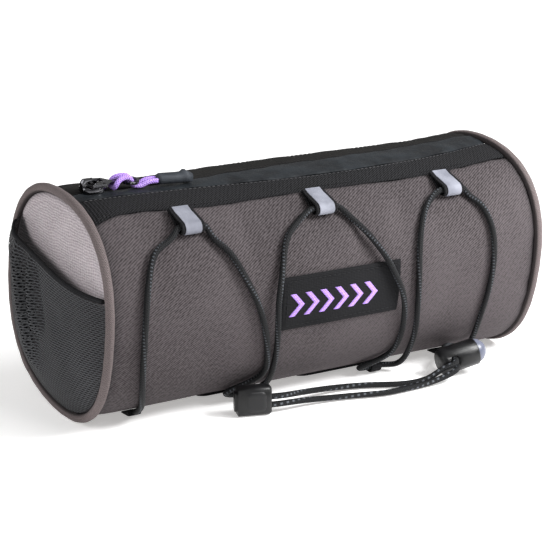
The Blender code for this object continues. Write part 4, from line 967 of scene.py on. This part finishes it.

# %% [markdown]
# A mesh pocket covers the lower part of each end. It is a loose sheet that is sewn in at the rim
# and bound along its slanting opening, so it bulges in the middle and a few soft pleats run down
# from the binding. The sheet is ruled from the opening to the rim and stands off the panel by a
# bulge that vanishes at the rim. It is one thin layer, and its area is worked out and printed.

# %% Mesh pockets
def bulge(y, height):
    """Stand-off f (1 + 0.6 (1 - f)) 11 mm, f = 1 - q^2, and a 3.6 mm lip where the mouth gapes."""
    q = np.hypot(y, height) / rim(np.degrees(np.arctan2(-y, height)))
    full = np.clip(1 - q ** 2, 0, 1)
    lip = np.exp(-((y / R - 0.60) / 0.24) ** 2 - ((height / R - 0.45) / 0.26) ** 2)
    lip = lip * np.clip(full / 0.25, 0, 1)
    return GAP + 0.0010 + 0.0110 * full * (1 + 0.6 * (1 - full)) + 0.0036 * lip


PLEATS = (  # top (y, height), foot (y, height), width, rise, in metres
    ((0.0204, 0.0184), (0.0080, -0.0300), 0.0026, 0.0052),
    ((0.0262, 0.0150), (0.0160, -0.0280), 0.0032, -0.0038),
    ((0.0066, 0.0190), (0.0017, -0.0130), 0.0022, 0.0044),
    ((0.0125, 0.0170), (0.0050, -0.0180), 0.0026, -0.0036),
    ((0.0010, 0.0170), (-0.0040, -0.0090), 0.0024, -0.0028),
    ((-0.0120, 0.0200), (-0.0150, -0.0200), 0.0040, 0.0009),
    ((-0.0330, 0.0050), (-0.0260, -0.0300), 0.0035, -0.0008))


def pleats(y, height):
    """Sum of ridges rise exp(-(distance to the line / width)^2), fading beyond the line's ends."""
    off = np.zeros(np.broadcast(y, height).shape)
    for top, foot, width, rise in PLEATS:
        run = np.subtract(foot, top)
        size = np.hypot(*run)
        along = ((y - top[0]) * run[0] + (height - top[1]) * run[1]) / size ** 2
        away = ((y - top[0]) * run[1] - (height - top[1]) * run[0]) / size
        off = off + rise * np.exp(-(away / (width * (1 + 0.6 * np.clip(along, 0, 1)))) ** 2
                                  - np.clip(np.abs(along - 0.45) - 0.45, 0, None) ** 2 / 0.03)
    return off


RIM_START, RIM_END = 79.5, 311.8  # where the mouth's two ends meet the rim


def pocket(side, label):
    """Lines from the mouth (down = 0) to the rim (down = 1), over the end by bulge and pleats."""
    across = np.linspace(0.0, 1.0, 170)
    down = np.linspace(0, 1, 110)[:, None] ** 0.8
    edge_y = EDGE[0, 0] + (EDGE[-1, 0] - EDGE[0, 0]) * across
    rim_angle = RIM_START + (RIM_END - RIM_START) * across
    rim_y = -(rim(rim_angle) - GAP) * np.sin(np.radians(rim_angle))
    rim_h = (rim(rim_angle) - GAP) * np.cos(np.radians(rim_angle))
    y = edge_y + (rim_y - edge_y) * down
    height = opening(edge_y) + (rim_h - opening(edge_y)) * down
    hang = np.sin(math.pi * down) ** 0.5
    points = end_place(side, y, height, bulge(y, height) - 0.0005 + pleats(y, height) * hang)
    mouth = opening(np.clip(y, EDGE[0, 0], EDGE[-1, 0]))
    rows = height - (mouth - 0.022) * np.exp(-np.clip(mouth - height, 0, None) / 0.03)
    uv = pair(0.55 * points[..., 1], rows)
    order = points if side > 0 else points[:, ::-1]
    sheet = skin("mesh_sheet_" + label, order, mesh_cloth, uv if side > 0 else uv[:, ::-1], wrap=False)
    one, two = points[1:, 1:] - points[:-1, :-1], points[1:, :-1] - points[:-1, 1:]
    area = float(np.linalg.norm(np.cross(one, two), axis=-1).sum() / 2)
    return sheet, area


def binding(side, label):
    """Flattened tube on the opening's edge: half thickness 0.9 mm, 2.4 mm tall, leaning with it."""
    y = np.linspace(EDGE[0, 0] + 0.0012, EDGE[-1, 0] - 0.0042, 120)
    slope = np.gradient(opening(y), y)
    up = np.stack([-slope, np.ones_like(slope)], axis=-1) / np.hypot(slope, 1)[:, None]
    base = bulge(y, opening(y)) - 0.0005
    thick, tall = circle(18)
    rise = GAP + 0.0013 + 0.0012 * blunt(tall, 0.8)
    off = 0.0009 * blunt(thick, 0.55) * (1 - 0.18 * tall)
    spread = y[:, None] + up[:, :1] * rise
    height = opening(y)[:, None] + up[:, 1:] * rise
    rings = end_place(side, spread, height, base[:, None] + off)
    u = run_length(pair(y, opening(y)))
    return skin("pocket_hem_" + label, rings, webbing, pair(u[:, None], np.linspace(0, 0.010, 19)))


for side, label in ((-1, "left"), (1, "right")):
    hem = wear(binding(side, label), "black_webbing", "pocket_binding_" + label)
    sheet, area = pocket(side, label)
    wear(sheet, "dark_mesh", "mesh_pocket_" + label)
    print("pocket", label, "area", round(area * 1e4, 1), "cm2")


# %% [markdown]
# The loops that hold the cord are short lengths of webbing, sewn into the strip's seam and folded
# round the cord. Their middle line is followed on the cloth as (distance from the seam, lift): out
# along the cloth, round the cord and back over itself. A flat ring across the line, carried along
# it, makes the webbing, and the same line a little further out carries the reflective ribbon.

# %% Webbing loops
def loop_line(run):
    """Middle line and its outward direction: out at low lift, round the cord, back above."""
    low = GAP + WEB / 2
    reach = 0.0021 + WEB / 2
    upper = low + WEB + GAP
    turn = np.radians(np.linspace(-90.0, 105.0, 22))
    curl = np.stack([run + reach * np.cos(turn), LOOP_LIFT + reach * np.sin(turn)], axis=-1)
    back = upper + np.array((0.50, 0.30, 0.10, 0.0)) * (curl[-1, 1] - upper)
    out = np.stack([run * np.array((0.0, 0.2, 0.4, 0.6, 0.8)), np.full(5, low)], axis=-1)
    line = np.concatenate([out, curl, np.stack([run * np.array((0.62, 0.46, 0.30, 0.0)), back], axis=-1)])
    along = np.gradient(line, axis=0)
    along /= np.linalg.norm(along, axis=1)[:, None]
    return line, np.stack([along[:, 1], -along[:, 0]], axis=-1)


def loop(name, share, width, seam_angle, cord_angle, finish, thick=WEB, shift=0.0, part=slice(None)):
    """Rounded flat ring (width by thickness) at each point of the loop's line, laid on the barrel."""
    sign = 1.0 if cord_angle > seam_angle else -1.0
    line, normal = loop_line(math.radians(abs(cord_angle - seam_angle)) * R)
    line, normal = line[part], normal[part]
    c, s = circle(20)
    side = width / 2 * blunt(c, 0.35)
    rise = thick / 2 * blunt(s, 0.6) + shift
    place = line[:, None] + normal[:, None] * rise[:, None]
    angle = seam_angle + sign * np.degrees(place[..., 0] / R)
    rings = barrel(share + side / HALF + 0 * angle, angle, place[..., 1])
    return skin(name, rings, finish, pair(run_length(line)[:, None], np.concatenate([side, side[:1]])))


for number, share in enumerate(TOP_LOOPS, 1):
    start = float(seam(1, share)[0]) + 0.9
    wear(loop("cord_loop_%d" % number, share, TOP_WIDTH, start, TOP_ANGLE, webbing), "black_webbing",
         "top_loop_%d" % number)
    wear(loop("loop_ribbon_%d" % number, share, 0.0086, start, TOP_ANGLE, ribbon, 0.0003, WEB / 2 + 0.00012,
              slice(9, None)), "black_webbing")
for number, share in enumerate(LOW_LOOPS, 1):
    wear(loop("low_loop_%d" % number, share, LOW_WIDTH, 160.0, LOW_ANGLE, webbing), "black_webbing",
         "bottom_loop_%d" % number)

# %% [markdown]
# Under the bag the two ends of the cord are sewn down beneath short tapering tabs, and on the back
# two wide straps are sewn at both ends and bowed between, for the belts that go round a bar. Two
# plain bands of webbing lie between the low loops, where the front's lower edge shows them. All
# are flat sheets with rounded edges, thick where something passes below them.

# %% Tabs and bar straps
def flat_piece(name, shares, angles, top, bottom, finish, soft=True):
    """Ring across the width at each angle: superellipse between a lower and an upper lift."""
    c, s = circle(22)
    half = (shares[1] - shares[0]) / 2
    side = (shares[0] + shares[1]) / 2 + half * blunt(c, 0.3)
    middle, thick = (top + bottom) / 2, (top - bottom) / 2
    lift = middle[:, None] + thick[:, None] * (blunt(s, 0.6))
    rings = barrel(side + 0 * lift, angles[:, None] + 0 * lift, lift, soft=soft)
    u = np.radians(angles)[:, None] * R
    v = np.concatenate([side, side[:1]]) * HALF
    return skin(name, rings, finish, pair(u, v))


for number, middle in enumerate(TABS, 1):
    angles = np.linspace(TAB_ANGLE, 160.0, 18)
    taper = np.interp(angles, (TAB_ANGLE, 154.5, 157.0, 160.0), (1.0, 1.0, 0.66, 0.30))
    thick = (CORD_LIFT + CORD - GAP) * taper
    half = 0.0070 / 2 / HALF
    wear(flat_piece("sewn_tab_%d" % number, (middle - half, middle + half), angles, GAP + thick,
                    GAP + 0 * thick, webbing), "black_webbing", "bottom_tab_%d" % number)
for number, (first, last) in enumerate(((-0.462, -0.198), (0.010, 0.372)), 1):
    angles = np.linspace(160.4, 167.5, 16)
    wear(flat_piece("low_band_%d" % number, (first, last), angles, GAP + 0.0011 + 0 * angles,
                    GAP + 0 * angles, webbing), "black_webbing")
STRAPS = (("left", -0.56), ("right", 0.56))
STRAP_THICK = 0.0015
for label, middle in STRAPS:
    place = np.linspace(0, 1, 70)
    rise = spline((0.0, 0.10, 0.18, 0.30, 0.42, 0.5, 0.58, 0.70, 0.82, 0.90, 1.0),
                  (0.0, 0.0, 0.25, 0.78, 0.97, 1.0, 0.97, 0.78, 0.25, 0.0, 0.0), place)
    lift = GAP + 0.0062 * np.clip(rise, 0, 1)
    half = 0.022 / 2 / HALF
    wear(flat_piece("bar_webbing_" + label, (middle - half, middle + half), -66.0 - 58.0 * place,
                    lift + STRAP_THICK, lift, webbing, soft=False), "black_webbing", "bar_strap_" + label)

# %% [markdown]
# The black patch on the front is a woven label with folded edges and a row of stitches all round.
# It carries a plain decoration, a row of embroidered arrowheads, which means nothing and belongs to
# nobody. Each stroke is a raised satin bar: one parameter along it, one across.

# %% Label and its stitching
LABEL_MIDDLE, LABEL_TOP, LABEL_WIDE, LABEL_TALL = 0.010 * HALF, 78.5, 0.069, 0.0275


def on_label(x, down, lift=0.0):
    """A place on the label's face: x from its middle, down from its top edge, in metres."""
    angle = LABEL_TOP + np.degrees(down / R)
    return barrel((LABEL_MIDDLE + x) / HALF, angle, GAP + 0.0010 + lift)


x = np.linspace(-LABEL_WIDE / 2, LABEL_WIDE / 2, 90)[:, None]
down = np.linspace(0, LABEL_TALL, 44)
edge = np.minimum(np.minimum(x + LABEL_WIDE / 2, LABEL_WIDE / 2 - x), np.minimum(down, LABEL_TALL - down))
puff = 0.00014 * np.sin(x / 0.0045 + 9 * down / LABEL_TALL) * np.exp(-((edge - 0.004) / 0.003) ** 2)
face = on_label(x + 0 * down, down + 0 * x, puff - 0.0003 * np.exp(-(edge / 0.0006) ** 2))
back = on_label(x + 0 * down, down + 0 * x, -0.0010 + 0 * edge)
uv = pair(x, np.concatenate([down, down[::-1], down[:1]]))
# Painted shade: a dark line along the stitch row, 2.4 mm inside the label's edge.
dark = 0.7 * np.exp(-((edge - 0.0024) / 0.0004) ** 2)
wear(skin("front_label", np.concatenate([face, back[:, ::-1]], axis=1), label_cloth, uv,
          shade=np.concatenate([dark, 0 * dark], axis=1)), "black_label", "label_patch")


# %% Stitch rows
def stitches(name, path, out, length, gap, girth, finish):
    """Short rounded bars along a path: arch sin(pi t) outwards, girth sin(pi t)^0.4."""
    run = run_length(path)
    starts = np.arange(gap / 2, run[-1] - length, length + gap)
    t = np.linspace(0, 1, 5)
    at = starts[:, None] + t * length
    read = lambda values: np.stack([np.interp(at, run, values[:, k]) for k in range(3)], axis=-1)
    centre, up = read(path), read(np.broadcast_to(out, path.shape))
    up /= np.linalg.norm(up, axis=-1)[..., None]
    ahead = np.gradient(centre, axis=1)
    ahead /= np.linalg.norm(ahead, axis=-1)[..., None]
    side = np.cross(up, ahead)
    bar = np.sin(math.pi * (0.06 + 0.88 * t))
    c, s = circle(6)
    radius = (girth * bar ** 0.4)[None, :, None, None]
    rings = (centre + (0.6 * girth * bar)[:, None] * up)[:, :, None] + radius * (
        c[:, None] * side[:, :, None] + s[:, None] * up[:, :, None])
    wear(skin(name, rings, finish), "black_webbing")


corner = np.array(((-1, -1), (1, -1), (1, 1), (-1, 1), (-1, -1))) * 1.0
side_run = np.linspace(0, 4, 401)
frame_x = np.interp(side_run, range(5), corner[:, 0]) * (LABEL_WIDE / 2 - 0.0024)
frame_down = LABEL_TALL / 2 + np.interp(side_run, range(5), corner[:, 1]) * (LABEL_TALL / 2 - 0.0024)
row = on_label(frame_x, frame_down, 0.0)
row_out = row - on_label(frame_x, frame_down, -0.001)
stitches("label_stitching", row, row_out, 0.0020, 0.0008, 0.00022, dark_thread)


# %% Embroidered arrowheads
def stroke(ends, width):
    """Bar between two places on the label: crown 0.4 mm (1 - t^4) across, closed below."""
    s = np.linspace(0, 1, 14)[:, None]
    a, b = np.array(ends[0]), np.array(ends[1])
    c, up = circle(16)
    middle = a + (b - a) * s[..., None]
    flat = middle + np.stack([width / 2 * blunt(c, 0.5), 0 * c], axis=-1)
    return on_label(flat[..., 0], flat[..., 1], 0.00005 + 0.00035 * np.clip(up, -0.1, 1) + 0 * s)


heads = []
for k in range(6):
    left = -0.0290 + 0.0086 * k
    heads += [stroke(((left, 0.0086), (left + 0.0052, 0.0144)), 0.0034),
              stroke(((left, 0.0202), (left + 0.0052, 0.0144)), 0.0034)]
heads = np.array(heads)
uv = pair(np.linspace(0, 0.008, 14)[:, None], np.linspace(0, 0.006, 17))
wear(skin("label_embroidery", heads, purple_thread, uv), "purple_cord")

# %% [markdown]
# Rows of machine stitches hold the strips and straps. They are the same little bars everywhere:
# a path on the cloth, the way out of it, a stitch length and a gap. The row along the top of the
# black strip is the one that shows most, in a slightly paler thread.

# %% Stitch rows on the barrel
def seam_row(name, column, shift, lift, length, gap, girth, finish):
    """Stitches from end to end, so many degrees beside a seam."""
    span = np.linspace(-0.955, 0.955, 500)
    angle = seam(column, span) + shift
    row = barrel(span, angle, lift)
    stitches(name, row, barrel(span, angle, lift + 0.01) - row, length, gap, girth, finish)


seam_row("strip_top_stitches", 2, 2.0, -0.00015, 0.0016, 0.0009, 0.00022, pale_thread)
seam_row("strip_low_stitches", 1, -2.2, -0.00015, 0.0020, 0.0007, 0.00020, dark_thread)
seam_row("back_strip_stitches", 4, 2.0, -0.00035, 0.0020, 0.0007, 0.00020, dark_thread)
for label, middle in STRAPS:
    for end, angle in (("upper", -69.0), ("lower", -121.0)):
        half_wide, half_tall = 0.0088 / HALF, 2.3
        span = middle + np.interp(side_run, range(5), corner[:, 0]) * half_wide
        turn = angle + np.interp(side_run, range(5), corner[:, 1]) * half_tall
        row = barrel(span, turn, GAP + STRAP_THICK, soft=False)
        stitches("strap_box_%s_%s" % (label, end), row, barrel(span, turn, 0.02, soft=False) - row,
                 0.0022, 0.0007, 0.00026, pale_thread)

# %% [markdown]
# The puller hangs from the slider: a wire tab with a ring, a purple cord looped through the ring
# and a rubber grip moulded over the cord's ends. The cord goes under the ring, up through it and
# round the bar, so both strands lie side by side until they enter the grip.

# %% Puller's cord
zip_angle = math.radians(float(seam(3, -0.896)[0]))
slider_up = np.array((0.0, -math.sin(zip_angle), math.cos(zip_angle)))
slider_side = np.cross(slider_up, (1.0, 0.0, 0.0))
hinge = barrel(-0.896, math.degrees(zip_angle)) + slider_up * (GAP + 0.0026 + 0.0007 * math.sqrt(2) + GAP)
basis = np.stack([(1.0, 0.0, 0.0), slider_side, slider_up], axis=1)
c, s = math.cos(math.radians(-3.2)), math.sin(math.radians(-3.2))
basis = basis @ np.array(((c, -s, 0), (s, c, 0), (0, 0, 1)))
c, s = math.cos(math.radians(1.9)), math.sin(math.radians(1.9))
basis = basis @ np.array(((c, 0, s), (0, 1, 0), (-s, 0, c)))
RING = 0.0215
GRIP_END = 0.0358
half_route = [(GRIP_END - 0.0005, 0.0016, -0.0004), (GRIP_END - 0.0025, 0.0016, -0.0004)]
half_route += [(RING + x, y, z) for x, y, z in (
    (0.0080, 0.0016, -0.0010), (0.0058, 0.0015, -0.0021), (0.0034, 0.0014, -0.0023),
    (0.0010, 0.0013, -0.0014), (0.0001, 0.0013, 0.0004), (-0.0013, 0.0014, 0.0020),
    (-0.0038, 0.0017, 0.0023), (-0.0064, 0.0024, 0.0016), (-0.0080, 0.0031, 0.0001),
    (-0.0088, 0.0025, -0.0019))]
whole = half_route + [(RING - 0.0090, 0.0, -0.0025)] + [(x, -y, z) for x, y, z in reversed(half_route)]
path = smooth_route(np.array(whole) @ basis.T + hinge, 0.0007)
wear(tube("puller_cord", path, 0.00125, purple), "purple_cord", "pull_cord", body="puller")

# %% The end
bpy.context.view_layer.update()
